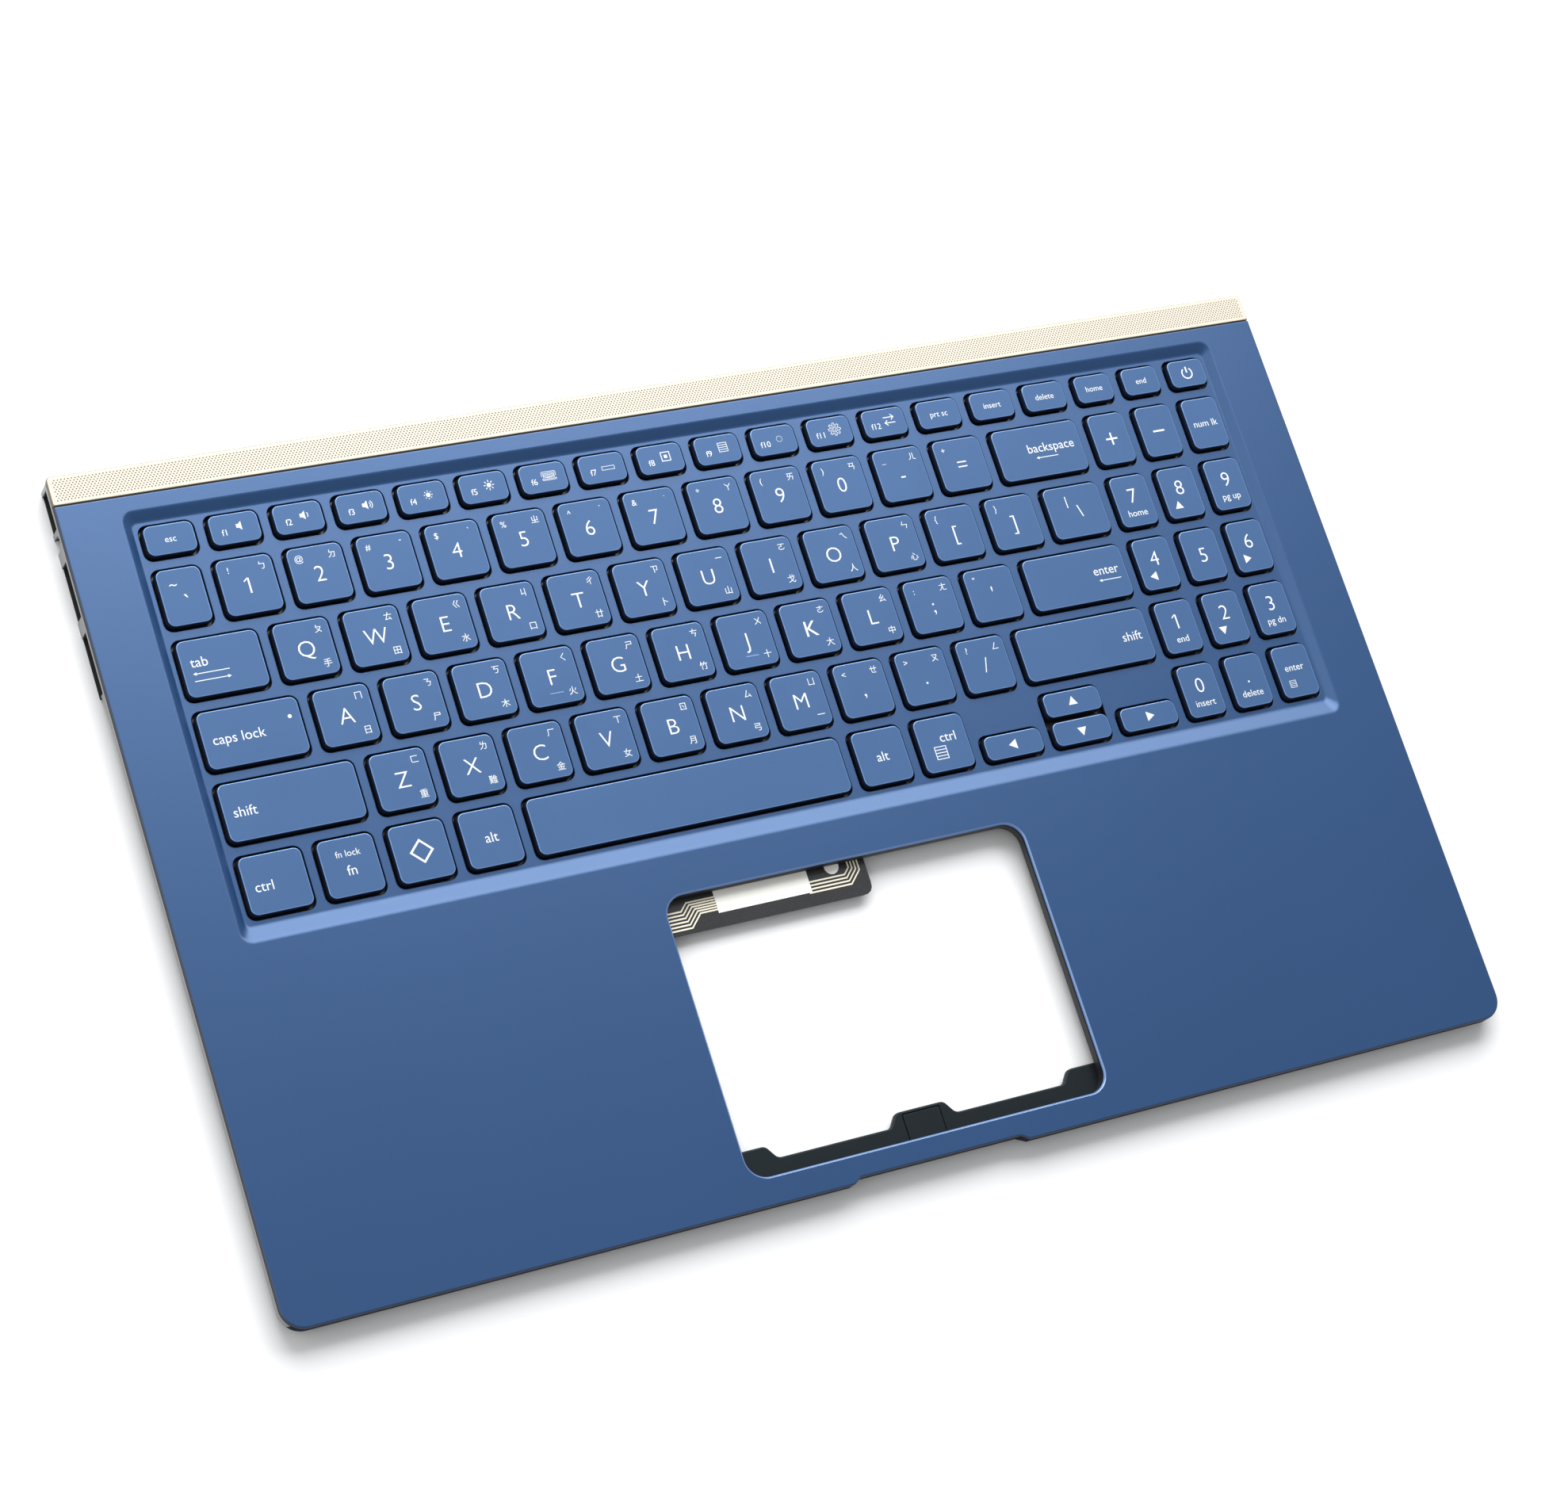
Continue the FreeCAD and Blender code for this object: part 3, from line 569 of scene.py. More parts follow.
def deck_sheet():
    """The blue sheet: outer edge, top, window edge, well and underside."""
    sheet = Piece()
    outer = [deck_ring(inset, DECK_TOP - drop) for inset, drop in round_over(EDGE_ROUND)]
    outer_foot = deck_ring(0, EDGE_FOOT)
    under = deck_ring(WALL, DECK_UNDERSIDE)
    sheet.skin(outer[:2], deck_blue)
    # The lower part of the rounded edge is painted dark grey and the straight side below it dark navy, both as shade.
    sheet.skin(outer[1:], deck_edge_painted_shade)
    sheet.skin([outer[-1], outer_foot], navy_painted_shade)
    sheet.skin([outer_foot, deck_ring(WALL, EDGE_FOOT), under], deck_blue, smooth=False)
    slope = [well_ring(share, z) for share, z in slope_profile()]
    sheet.skin(slope, deck_blue)
    chamfer = [window_ring(EDGE_ROUND, DECK_TOP), window_ring(0, DECK_TOP - EDGE_ROUND)]
    ledge = [window_ring(grow, EDGE_FOOT) for grow in (0, WINDOW_RIM)]
    ledge_top = window_ring(WINDOW_RIM, DECK_UNDERSIDE)
    # The chamfer's light blue is partly cut metal and partly a painted highlight; the window's inner side is painted
    # dark navy as shade.
    sheet.skin(chamfer, cut_chamfer_and_painted_highlight)
    sheet.skin([chamfer[1], ledge[0]], navy_painted_shade)
    sheet.skin(ledge, frame_black, smooth=False)
    sheet.skin([ledge[1], ledge_top], frame_black)
    sheet.cover(outer[0], deck_blue, [slope[0], chamfer[0]])
    pan = [well_ring(0, z) for z in (DECK_UNDERSIDE, WELL_UNDERSIDE)]
    sheet.skin(pan, frame_black)
    sheet.cover(under, frame_black, [pan[0], ledge_top])
    plans = hole_plans()
    mouths = [ring(grown(plan, HOLE_EDGE), HOLE_CORNER + HOLE_EDGE, WELL_FLOOR) for plan in plans]
    throats = [ring(plan, HOLE_CORNER, WELL_FLOOR - HOLE_EDGE) for plan in plans]
    feet = [ring(plan, HOLE_CORNER, WELL_UNDERSIDE) for plan in plans]
    for mouth, throat, foot in zip(mouths, throats, feet):
        sheet.skin([mouth, throat], deck_blue)
        sheet.skin([throat, foot], frame_black)
    sheet.cover(slope[-1], deck_blue, mouths)
    sheet.cover(pan[-1], frame_black, feet)
    return sheet


deck = deck_sheet().make("deck_sheet", "deck")
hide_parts("top_case")
print("deck sheet", len(deck.data.polygons), "faces,", len(hole_plans()), "key holes")

# %% [markdown]
# ## Walls and ribs
# Below the blue sheet the case is a frame with straight walls, port notches and ribs. Those shapes are right in the
# CAD model, so this piece starts from a copy of that mesh. A cut just below the deck's edge takes the top away, the
# pan of the well goes too, and the cuts are closed again. What is left is silver on its outer sides and black within,
# with dark blue along the front and round the front half of each front corner painted as shade.

# %% Walls and ribs
WALL_FINISHES = [wall_silver, frame_black, navy_painted_shade]
PAN_MARGIN = 0.05
LEVEL = 0.01


def is_pan(face):
    """Whether a face belongs to the pan of the well, which the deck sheet already has."""
    left, front, right, rear = grown(WELL_RIM, PAN_MARGIN)
    spots = [corner.co / MM for corner in face.verts]
    inside = all(left < spot.x < right and front < spot.y < rear for spot in spots)
    return inside and all(spot.z > WELL_UNDERSIDE - LEVEL for spot in spots)


def is_level(edge, z):
    """Whether both ends of an edge lie at one height."""
    return all(abs(end.co.z / MM - z) < LEVEL for end in edge.verts)


def wall_finish(face):
    """The finish of a wall face. At a front corner, silver gives way to dark blue painted as shade halfway round."""
    spot = face.calc_center_median() / MM
    past_corner = Vector((abs(spot.x) - case_plan[2] + FRONT_CORNER, case_plan[1] + FRONT_CORNER - spot.y))
    # Front faces are painted dark navy as shade: all along the front, and from halfway round a front corner.
    if min(past_corner) > 0:
        if past_corner.length < FRONT_CORNER - WALL / 2:
            return frame_black
        return navy_painted_shade if past_corner.y > past_corner.x else wall_silver
    left, front, right, rear = grown(case_plan, -WALL / 2)
    if spot.y < front + NOTCH_DEPTH:
        return navy_painted_shade
    return frame_black if left < spot.x < right and spot.y < rear else wall_silver


work = welded(frame["nodes"]["top_case"].data)
everything = [*work.verts, *work.edges, *work.faces]
cut_height = (0, 0, EDGE_FOOT * MM)
bmesh.ops.bisect_plane(work, geom=everything, plane_co=cut_height, plane_no=(0, 0, 1), clear_outer=True)
bmesh.ops.delete(work, geom=[face for face in work.faces if is_pan(face)], context="FACES")
for level in (EDGE_FOOT, WELL_UNDERSIDE):
    open_edges = [edge for edge in work.edges if edge.is_boundary and is_level(edge, level)]
    bmesh.ops.triangle_fill(work, edges=open_edges, normal=(0, 0, 1))
bmesh.ops.recalc_face_normals(work, faces=work.faces)
for face in work.faces:
    face.smooth = False
    face.material_index = WALL_FINISHES.index(wall_finish(face))
wall_mesh = bpy.data.meshes.new("case_walls")
work.to_mesh(wall_mesh)
work.free()
dressed("case_walls", wall_mesh, WALL_FINISHES)
print("walls and ribs", len(wall_mesh.polygons), "faces")

# %% [markdown]
# ## Port sleeves
# The port notches in the side walls look black. Each sleeve is a short square tube of thin sheet that stands in its
# notch, open at both ends so that a plug can pass; its near-black is partly the colour of a moulded frame that lines
# the notch and partly painted shade in the opening. The tables hold where each port begins and ends, measured from
# the rear edge.

# %% Port sleeves
PORT_TOP = 4.7
SLEEVE_SHEET = 0.25
SLEEVE_DEPTH = 4.0
SLEEVE_INSET = 0.25
SLEEVE_FOOT = 0.1
LEFT_PORTS = [(2.5, 13.0), (21.8, 36.6), (40.7, 57.0)]
RIGHT_PORTS = [(8.0, 22.0), (40.7, 57.0)]


def sleeve_ring(x, span, shrink):
    """One end of a sleeve, at x."""
    rear, front = case_plan[3] - span[0] - shrink, case_plan[3] - span[1] + shrink
    low, high = SLEEVE_FOOT + shrink, PORT_TOP - shrink
    return [(x, front, low), (x, rear, low), (x, rear, high), (x, front, high)]


sleeves = Piece()
for side, spans in ((-1, LEFT_PORTS), (1, RIGHT_PORTS)):
    mouth = side * (case_plan[2] - SLEEVE_INSET)
    back = mouth - side * SLEEVE_DEPTH
    for span in spans:
        outer = [sleeve_ring(x, span, 0) for x in (mouth, back)]
        inner = [sleeve_ring(x, span, SLEEVE_SHEET) for x in (back, mouth)]
        # Near-black, partly the sleeve's own colour and partly painted shade.
        sleeves.skin(outer + inner + outer[:1], port_black_and_painted_shade, smooth=False)
sleeve_piece = sleeves.make("port_sleeves", "deck")
print("port sleeves", len(LEFT_PORTS) + len(RIGHT_PORTS), "with", len(sleeve_piece.data.polygons), "faces")

# %% [markdown]
# ## Speaker strip
# The strip is pale gold and pierced all over with rows of tiny dots, each row half a step from the next. A texture
# could draw them, but from close by real pits catch the light. One cell is a small rectangle with a six-sided pit in
# it, and the pattern is that cell set down a few thousand times. Every second row ends in two halves of a cell that
# have no pit. The pits and the lower part of the strip's edge are painted darker brown as shade.

# %% Speaker strip
DOT_PITCH = 0.9
ROW_PITCH = 0.6
DOT_RADIUS = 0.21
DOT_DEPTH = 0.12
DOT_SIDES = 6
DOT_TURN = 30.0
STRIP_MARGIN = 0.9
STRIP_EDGE = 0.35
STRIP_FRONT_CORNER = 0.4
STRIP_REAR_CORNER = 1.2
CELL_CORNERS = [(1, 1), (0, 1), (-1, 1), (-1, -1), (0, -1), (1, -1)]
strip = Piece()


def strip_ring(inset, z):
    """The strip's outline, moved in."""
    return ring(grown(strip_plan, -inset), STRIP_FRONT_CORNER, z, STRIP_REAR_CORNER - inset)


def pit_cell(x, y):
    """Adds one cell of the pattern: a flat rectangle with a pit at its middle."""
    border = [(x + side * DOT_PITCH / 2, y + end * ROW_PITCH / 2, DECK_TOP) for side, end in CELL_CORNERS]
    rim = [(*spot, DECK_TOP) for spot in circle(x, y, DOT_RADIUS, DOT_SIDES, DOT_TURN)]
    strip.skin([border, rim], strip_gold, smooth=False)
    bottom = [(x, y, DECK_TOP - DOT_DEPTH)]
    # The pit is painted darker brown as shade.
    strip.add(rim + bottom, [(step, (step + 1) % DOT_SIDES, DOT_SIDES) for step in range(DOT_SIDES)], strip_pit_painted_shade)


field = grown(strip_plan, -STRIP_MARGIN)
columns = int((field[2] - field[0]) / DOT_PITCH)
rows = int((field[3] - field[1]) / ROW_PITCH)
left = (field[0] + field[2] - columns * DOT_PITCH) / 2
front = (field[1] + field[3] - rows * ROW_PITCH) / 2
right, rear = left + columns * DOT_PITCH, front + rows * ROW_PITCH
for row in range(rows):
    y = front + (row + 0.5) * ROW_PITCH
    shift = 0.5 if row % 2 else 0.0
    for column in range(columns - row % 2):
        pit_cell(left + (column + 0.5 + shift) * DOT_PITCH, y)
    if shift:
        for start in (left, right - DOT_PITCH / 2):
            end, low, high = start + DOT_PITCH / 2, y - ROW_PITCH / 2, y + ROW_PITCH / 2
            half_cell = [(start, low), (end, low), (end, high), (start, high)]
            strip.add([(*spot, DECK_TOP) for spot in half_cell], [(0, 1, 2, 3)], strip_gold)
print("strip pattern", rows, "rows of", columns, "dots")

# %% Close the strip
strip_edges = [strip_ring(inset, DECK_TOP - drop) for inset, drop in round_over(STRIP_EDGE)]
strip_foot = strip_ring(0, STRIP_SEAT)
along_x = [left + step * DOT_PITCH / 2 for step in range(2 * columns + 1)]
along_y = [front + step * ROW_PITCH for step in range(rows + 1)]
field_border = [(x, front, DECK_TOP) for x in along_x[:-1]] + [(right, y, DECK_TOP) for y in along_y[:-1]]
field_border += [(x, rear, DECK_TOP) for x in along_x[:0:-1]] + [(left, y, DECK_TOP) for y in along_y[:0:-1]]
strip.cover(strip_edges[0], strip_gold, [field_border])
strip.skin(strip_edges[:2], strip_gold)
# The lower part of the rounded edge and the side are painted darker as shade.
strip.skin(strip_edges[1:] + [strip_foot], strip_pit_painted_shade)
strip.cover(strip_foot, strip_gold)
strip_piece = strip.make("pierced_strip", "strip")
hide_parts("speaker_strip")
print("strip", len(strip_piece.data.polygons), "faces")

# %% [markdown]
# ## Prints
# The prints on the caps are thin white ink. Text objects give their shapes: each word becomes a mesh that stands two
# hundredths of a millimetre out of the cap, which keeps it sharp from close by and needs no texture. Arrows,
# loudspeakers and suns are drawn as small polygons in the same ink.

# %% Printing on a cap
INK = 0.012
INK_LIFT = 0.006
CAPITAL_SHARE = 0.36
WORD_CURVE_STEPS = 3
ARROW_HEAD, ARROW_LINE = 0.9, 0.22
SPEAKER_HORN = [(-1.4, -0.5), (-0.8, -0.5), (0.0, -1.2), (0.0, 1.2), (-0.8, 0.5), (-1.4, 0.5)]
WAVE_START, WAVE_STEP, WAVE_LINE = 0.7, 0.55, 0.2
WAVE_TURNS = [math.radians(turn) for turn in range(-50, 51, 20)]
SUN_DISC, SUN_GAP, SUN_RAY = 0.62, 0.9, 0.24
DISC_SIDES, SUN_RAYS = 12, 8


def print_word(piece, word, size, x, y, align="CENTER", thinner=0.0):
    """Adds a word in ink, with its capitals centred on y. Its strokes may be drawn thinner than the font has them."""
    text = bpy.data.curves.new("word", "FONT")
    text.body = word
    text.size = size
    text.align_x = align
    text.resolution_u = WORD_CURVE_STEPS
    text.offset = -thinner
    text.extrude = INK
    holder = bpy.data.objects.new("word", text)
    mesh = bpy.data.meshes.new_from_object(holder)
    base = Vector((x, y - CAPITAL_SHARE * size, CAP_TOP + INK_LIFT))
    points = [tuple(corner.co + base) for corner in mesh.vertices]
    piece.add(points, [list(face.vertices) for face in mesh.polygons], print_white)
    bpy.data.objects.remove(holder)
    bpy.data.curves.remove(text)
    bpy.data.meshes.remove(mesh)


def print_shape(piece, points, x=0.0, y=0.0):
    """Adds a flat shape in ink, with its points measured from x and y."""
    outline = [(x + across, y + along) for across, along in points]
    piece.slab(outline, CAP_TOP + INK + INK_LIFT, CAP_TOP - INK_LIFT, print_white)


def print_arrow(piece, tail, tip, y):
    """Adds a long thin arrow that lies along X."""
    back = tip - math.copysign(ARROW_HEAD, tip - tail)
    half = ARROW_LINE / 2
    print_shape(piece, [(tail, y - half), (back, y - half), (back, y + half), (tail, y + half)])
    print_shape(piece, [(back, y - ARROW_HEAD / 2), (tip, y), (back, y + ARROW_HEAD / 2)])


def print_speaker(piece, x, y, waves):
    """Adds a loudspeaker: a small horn and arcs for the sound."""
    print_shape(piece, SPEAKER_HORN, x, y)
    for wave in range(waves):
        near = WAVE_START + WAVE_STEP * wave
        far = near + WAVE_LINE
        outer = [(far * math.cos(turn), far * math.sin(turn)) for turn in WAVE_TURNS]
        inner = [(near * math.cos(turn), near * math.sin(turn)) for turn in reversed(WAVE_TURNS)]
        print_shape(piece, outer + inner, x, y)


def print_sun(piece, x, y, reach):
    """Adds a small sun: a disc with rays of a given length."""
    print_shape(piece, circle(x, y, SUN_DISC, DISC_SIDES))
    for ray in circle(0.0, 0.0, 1.0, SUN_RAYS):
        along = Vector(ray)
        across = Vector((-along.y, along.x)) * SUN_RAY / 2
        near, far = along * SUN_GAP, along * (SUN_GAP + reach)
        print_shape(piece, [near - across, far - across, far + across, near + across], x, y)


print("ink stands", INK + INK_LIFT, "mm out of a cap")

# %% [markdown]
# ## What is printed where
# Letters stand in the middle of their caps, with a phonetic sign at the upper right and a root sign at the lower
# right. Digits have their shifted sign at the upper left. The number pad has small words below its digits, and the
# low rear row has names, most with an icon. Each table lists its keys in reading order. Big signs are drawn a little
# lighter than the font has them, apart from the k.

# %% Tables of prints
BIG, MEDIUM, SMALL = 6.2, 3.7, 2.4
LIGHT = 0.07
FULL_STROKES = "k"
LETTER_CORNERS = [(1, 1), (1, -1)]
SIGN_CORNERS = [(-1, 1), (1, 1)]
LETTER_SIGNS = (
    "qㄆ手 wㄊ田 eㄍ水 rㄐ口 tㄔ廿 yㄗ卜 uㄧ山 iㄛ戈 oㄟ人 pㄣ心 "
    "aㄇ日 sㄋ尸 dㄎ木 fㄑ火 gㄕ土 hㄘ竹 jㄨ十 kㄜ大 lㄠ中 "
    "zㄈ重 xㄌ難 cㄏ金 vㄒ女 bㄖ月 nㄙ弓 mㄩ一"
).split()
NUMBER_SIGNS = "1!ㄅ 2@ㄉ 3#ˇ 4$ˋ 5%ㄓ 6^ˊ 7&˙ 8*ㄚ 9(ㄞ 0)ㄢ -_ㄦ =+".split()
MARK_SIGNS = ["[{", "]}", ";:ㄤ", "'\"", ",<ㄝ", ".>ㄡ", "/?ㄥ"]
FUNCTION_WORDS = ["esc", *("f%d" % number for number in range(1, 13)), "prt sc", "insert", "delete", "home", "end"]
FUNCTION_ICONS = " 123☼☀⌨▭▣▤◌⚙⇄".ljust(len(FUNCTION_WORDS))
PAD_WORDS = "+ − num_lk 7|home 8|▲ 9|pg_up 4|◀ 5 6|▶ 1|end 2|▼ 3|pg_dn 0|insert .|delete enter|▤".split()
SIGN_INSET = 3.1
ONE_FLAG = [(-1.3, 1.2), (-1.1, 0.95), (-0.1, 1.75), (-0.1, 2.15)]
PAD_SIGN, PAD_WORD, PAD_SECOND = BIG * 1.3, SMALL * 1.2, SMALL * 1.15
DIGIT_LIFT, WORD_LIFT = 1.6, 1.2
SECOND_DROP, PICTURE_ASIDE = 3.6, 2.0
NAME_ASIDE, NAME_DROP = 2.8, 0.84
ICON_ASIDE, SPEAKER_ASIDE, ICON_LIFT = 1.6, 1.8, 0.4
RAY_LENGTHS = {"☼": 0.3, "☀": 0.55}


def at_corner(plan, right, rear, inset=SIGN_INSET):
    """A spot near one corner of a cap; right and rear are -1, 0 or 1."""
    x, y = (plan[0] + plan[2]) / 2, (plan[1] + plan[3]) / 2
    reach_x, reach_y = (plan[2] - plan[0]) / 2 - inset, (plan[3] - plan[1]) / 2 - inset
    return x + right * reach_x, y + rear * reach_y


def print_main(piece, sign, x, y):
    """Adds a big sign in light strokes. A digit one also gets a short slanted stroke at its top."""
    print_word(piece, sign.upper(), BIG, x, y, thinner=0.0 if sign in FULL_STROKES else LIGHT)
    if sign == "1":
        print_shape(piece, ONE_FLAG, x, y)


def sign_prints(piece, plan, signs, corners=SIGN_CORNERS):
    """A letter, digit or mark key: the main sign in the middle and small signs near corners."""
    print_main(piece, signs[0], *at_corner(plan, 0, 0))
    for sign, corner in zip(signs[1:], corners):
        print_word(piece, sign, SMALL, *at_corner(plan, *corner))


def pad_prints(piece, plan, words):
    """A number pad key: its digit, with a small word or picture below it."""
    main, *below = words.replace("_", " ").split("|")
    x, y = at_corner(plan, 0, 0)
    if main in "+−":
        print_word(piece, main, PAD_SIGN, x, y, thinner=LIGHT)
    elif len(main) == 1:
        print_main(piece, main, x, y + (DIGIT_LIFT if below else 0))
    else:
        print_word(piece, main, PAD_WORD, x, y + (WORD_LIFT if below else 0))
    for word in below:
        aside, size = (PICTURE_ASIDE, PAD_WORD) if len(word) == 1 else (0.0, PAD_SECOND)
        print_word(piece, word, size, x - aside, y - SECOND_DROP)


def function_prints(piece, plan, label):
    """A key of the low rear row: its name and, where it has one, a small icon."""
    word, icon = label
    x, y = at_corner(plan, 0, 0)
    if icon == " ":
        print_word(piece, word, SMALL, x, y)
        return
    print_word(piece, word, SMALL, x - NAME_ASIDE, y - NAME_DROP)
    if icon in "123":
        print_speaker(piece, x + SPEAKER_ASIDE, y + ICON_LIFT, int(icon) - 1)
    elif icon in RAY_LENGTHS:
        print_sun(piece, x + ICON_ASIDE, y + ICON_LIFT, RAY_LENGTHS[icon])
    else:
        print_word(piece, icon, MEDIUM, x + ICON_ASIDE, y + ICON_LIFT)


print("letter prints", len(LETTER_SIGNS), "pad prints", len(PAD_WORDS), "function prints", len(FUNCTION_WORDS))

# %% [markdown]
# Wide and special keys have plain words at one end or in the middle. For each word the table holds its height, the
# end of the cap that it starts from, and how far it stands from there across and up. Arrows are listed in the same
# way, from tail to tip.

# %% Wide and special keys
WORD_INSET = 2.6
KEY_WORDS = {
    "tab": [("tab", MEDIUM, "LEFT", 0.0, 1.6)],
    "caps_lock": [("caps lock", MEDIUM, "LEFT", 0.0, 0.0)],
    "left_shift": [("shift", MEDIUM, "LEFT", 0.0, 0.0)],
    "right_shift": [("shift", MEDIUM, "RIGHT", 0.0, 0.0)],
    "enter": [("enter", MEDIUM, "RIGHT", 0.0, 1.0)],
    "backspace": [("backspace", MEDIUM, "RIGHT", 0.0, 1.0)],
    "left_ctrl": [("ctrl", MEDIUM, "LEFT", 0.0, -0.5)],
    "right_ctrl": [("ctrl", MEDIUM, "CENTER", 1.6, 1.8), ("▤", BIG * 0.8, "CENTER", -1.6, -2.4)],
    "fn": [("fn", MEDIUM, "CENTER", 0.0, -1.0), ("fn lock", SMALL, "CENTER", 0.0, 3.4)],
    "left_alt": [("alt", MEDIUM, "CENTER", 0.0, 0.0)],
    "right_alt": [("alt", MEDIUM, "CENTER", 0.0, 0.0)],
    "system": [("◇", BIG * 1.1, "CENTER", 0.0, 0.0)],
    "backtick": [("`", BIG, "CENTER", 0.6, -1.4), ("~", MEDIUM, "CENTER", -2.0, 3.6)],
    "backslash": [("\\", BIG * 0.8, "CENTER", 1.0, 0.0), ("|", MEDIUM, "CENTER", -2.4, 3.4)],
    "power": [("⏻", MEDIUM * 1.2, "CENTER", 0.0, 0.0)],
}
KEY_ARROWS = {
    "tab": [("LEFT", 9.5, 0.0, -1.5), ("LEFT", 0.0, 9.5, -3.4)],
    "enter": [("RIGHT", 0.0, -7.0, -2.0)],
    "backspace": [("RIGHT", -6.0, -13.0, -2.0)],
}
TRIANGLE_TURNS = {"arrow_right": 0, "arrow_up": 90, "arrow_left": 180, "arrow_down": 270}
TRIANGLE_SIZE = 1.6
LAMP_SIZE, LAMP_CORNER, LAMP_LIFT = 1.0, 0.45, 2.0


def special_prints(piece, plan, name):
    """A key that carries a word or a picture. Caps lock also has a small lamp."""
    x, y = at_corner(plan, 0, 0)
    starts = {"LEFT": plan[0] + WORD_INSET, "CENTER": x, "RIGHT": plan[2] - WORD_INSET}
    for word, size, end, across, up in KEY_WORDS.get(name, []):
        print_word(piece, word, size, starts[end] + across, y + up, end)
    for end, tail, tip, up in KEY_ARROWS.get(name, []):
        print_arrow(piece, starts[end] + tail, starts[end] + tip, y + up)
    if name in TRIANGLE_TURNS:
        print_shape(piece, circle(x, y, TRIANGLE_SIZE, 3, TRIANGLE_TURNS[name]))
    if name == "caps_lock":
        square = (starts["RIGHT"] - LAMP_SIZE, y + LAMP_LIFT, starts["RIGHT"], y + LAMP_LIFT + LAMP_SIZE)
        print_shape(piece, [spot[:2] for spot in ring(square, LAMP_CORNER, 0)])


print("special keys with words", len(KEY_WORDS), "and with triangles", len(TRIANGLE_TURNS))

# %% [markdown]
# ## Key caps
# A cap is a shallow tray turned upside down: tapered sides, a narrow rounded top edge and a hollow below that takes
# the rubber dome. The ring kit draws it in one go. Keys that move are objects of their own, each riding on its own
# body, and the keys of a group share one object.

# %% Shape of a cap
CAP_CORNER = 1.9
CAP_DRAFT = 0.2
CAP_EDGE = 0.28
RIM_RINGS = 3
CAP_SKIRT = 1.1
CAP_ROOF = 1.5
BAR_INSET = 3.2
BAR_LENGTH, BAR_WIDTH, BAR_CORNER = 3.8, 0.4, 0.15
BAR_RISE, BAR_ROOT = 0.08, 0.05


def add_cap(piece, plan):
    """Adds one cap."""
    shoulder = []
    for inset, drop in round_over(CAP_EDGE):
        shoulder.append(ring(grown(plan, -CAP_DRAFT - inset), CAP_CORNER - inset, CAP_TOP - drop))
    foot = ring(plan, CAP_CORNER, CAP_BOTTOM)
    hollow = grown(plan, -CAP_SKIRT)
    mouth = ring(hollow, CAP_CORNER / 2, CAP_BOTTOM)
    roof = ring(hollow, CAP_CORNER / 2, CAP_TOP - CAP_ROOF)
    piece.cover(shoulder[0], cap_blue)
    # The rounded top edge is painted lighter as a highlight, and the sides below it darker as shade.
    piece.skin(shoulder[:RIM_RINGS], cap_rim_painted_highlight)
    piece.skin(shoulder[RIM_RINGS - 1 :] + [foot], cap_side_painted_shade)
    piece.skin([foot, mouth, roof], cap_blue, smooth=False)
    piece.cover(roof, cap_blue)


def add_homing_bar(piece, plan):
    """Adds the low bar that a finger feels on f and j."""
    x, y = at_corner(plan, 0, -1, BAR_INSET)
    bar = (x - BAR_LENGTH / 2, y - BAR_WIDTH / 2, x + BAR_LENGTH / 2, y + BAR_WIDTH / 2)
    # The bar is painted in the rims' lighter highlight colour.
    piece.slab(ring(bar, BAR_CORNER, 0), CAP_TOP + BAR_RISE, CAP_TOP - BAR_ROOT, cap_rim_painted_highlight, smooth=True)


print("a cap is", round(CAP_TOP - CAP_BOTTOM, 2), "mm high with an edge of", CAP_EDGE)

# %% Make the keys that move
letter_signs = {signs[0]: signs for signs in LETTER_SIGNS}
for body, plan in moving_caps.items():
    name = body.removeprefix("key_")
    cap = Piece()
    add_cap(cap, plan)
    if name in letter_signs:
        sign_prints(cap, plan, letter_signs[name], LETTER_CORNERS)
    else:
        special_prints(cap, plan, name)
    if name in ("f", "j"):
        add_homing_bar(cap, plan)
    made = cap.make("cap_" + name, "key", body)
    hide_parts(body)
print("moving caps", len(moving_caps))

# %% [markdown]
# ## Rubber domes and the groups of fixed keys
# Under each cap stands a rubber dome that springs it back. A dome is a ring loft too: a flat foot, a cone and a small
# crown. Its profile holds a radius for each share of its height. Under a key that moves, the real dome gives way as the
# key goes down; here each such dome is an object of its own, drawn at rest.

# %% Domes
MEMBRANE_TOP = place_of("rubber_domes")[1]
DOME_PROFILE = [(2.6, 0.0), (2.6, 0.12), (2.288, 0.16), (1.76, 0.8), (1.28, 1.0)]
DOME_SIDES = 14
DOME_CLEARANCE = 0.05


def add_dome(piece, plan, top):
    """Adds one dome under the middle of a cap."""
    rings = []
    for radius, share in DOME_PROFILE:
        z = MEMBRANE_TOP + (top - MEMBRANE_TOP) * share
        rings.append([(*spot, z) for spot in circle(*at_corner(plan, 0, 0), radius, DOME_SIDES)])
    piece.block(rings, dome_rubber)


for body, plan in moving_caps.items():
    dome = Piece()
    add_dome(dome, plan, CAP_TOP - CAP_ROOF - DOME_CLEARANCE)
    name = body.removeprefix("key_")
    made = dome.make("dome_" + name, "dome")
    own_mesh(made)
    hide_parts("rubber_domes")
print("domes", len(moving_caps))

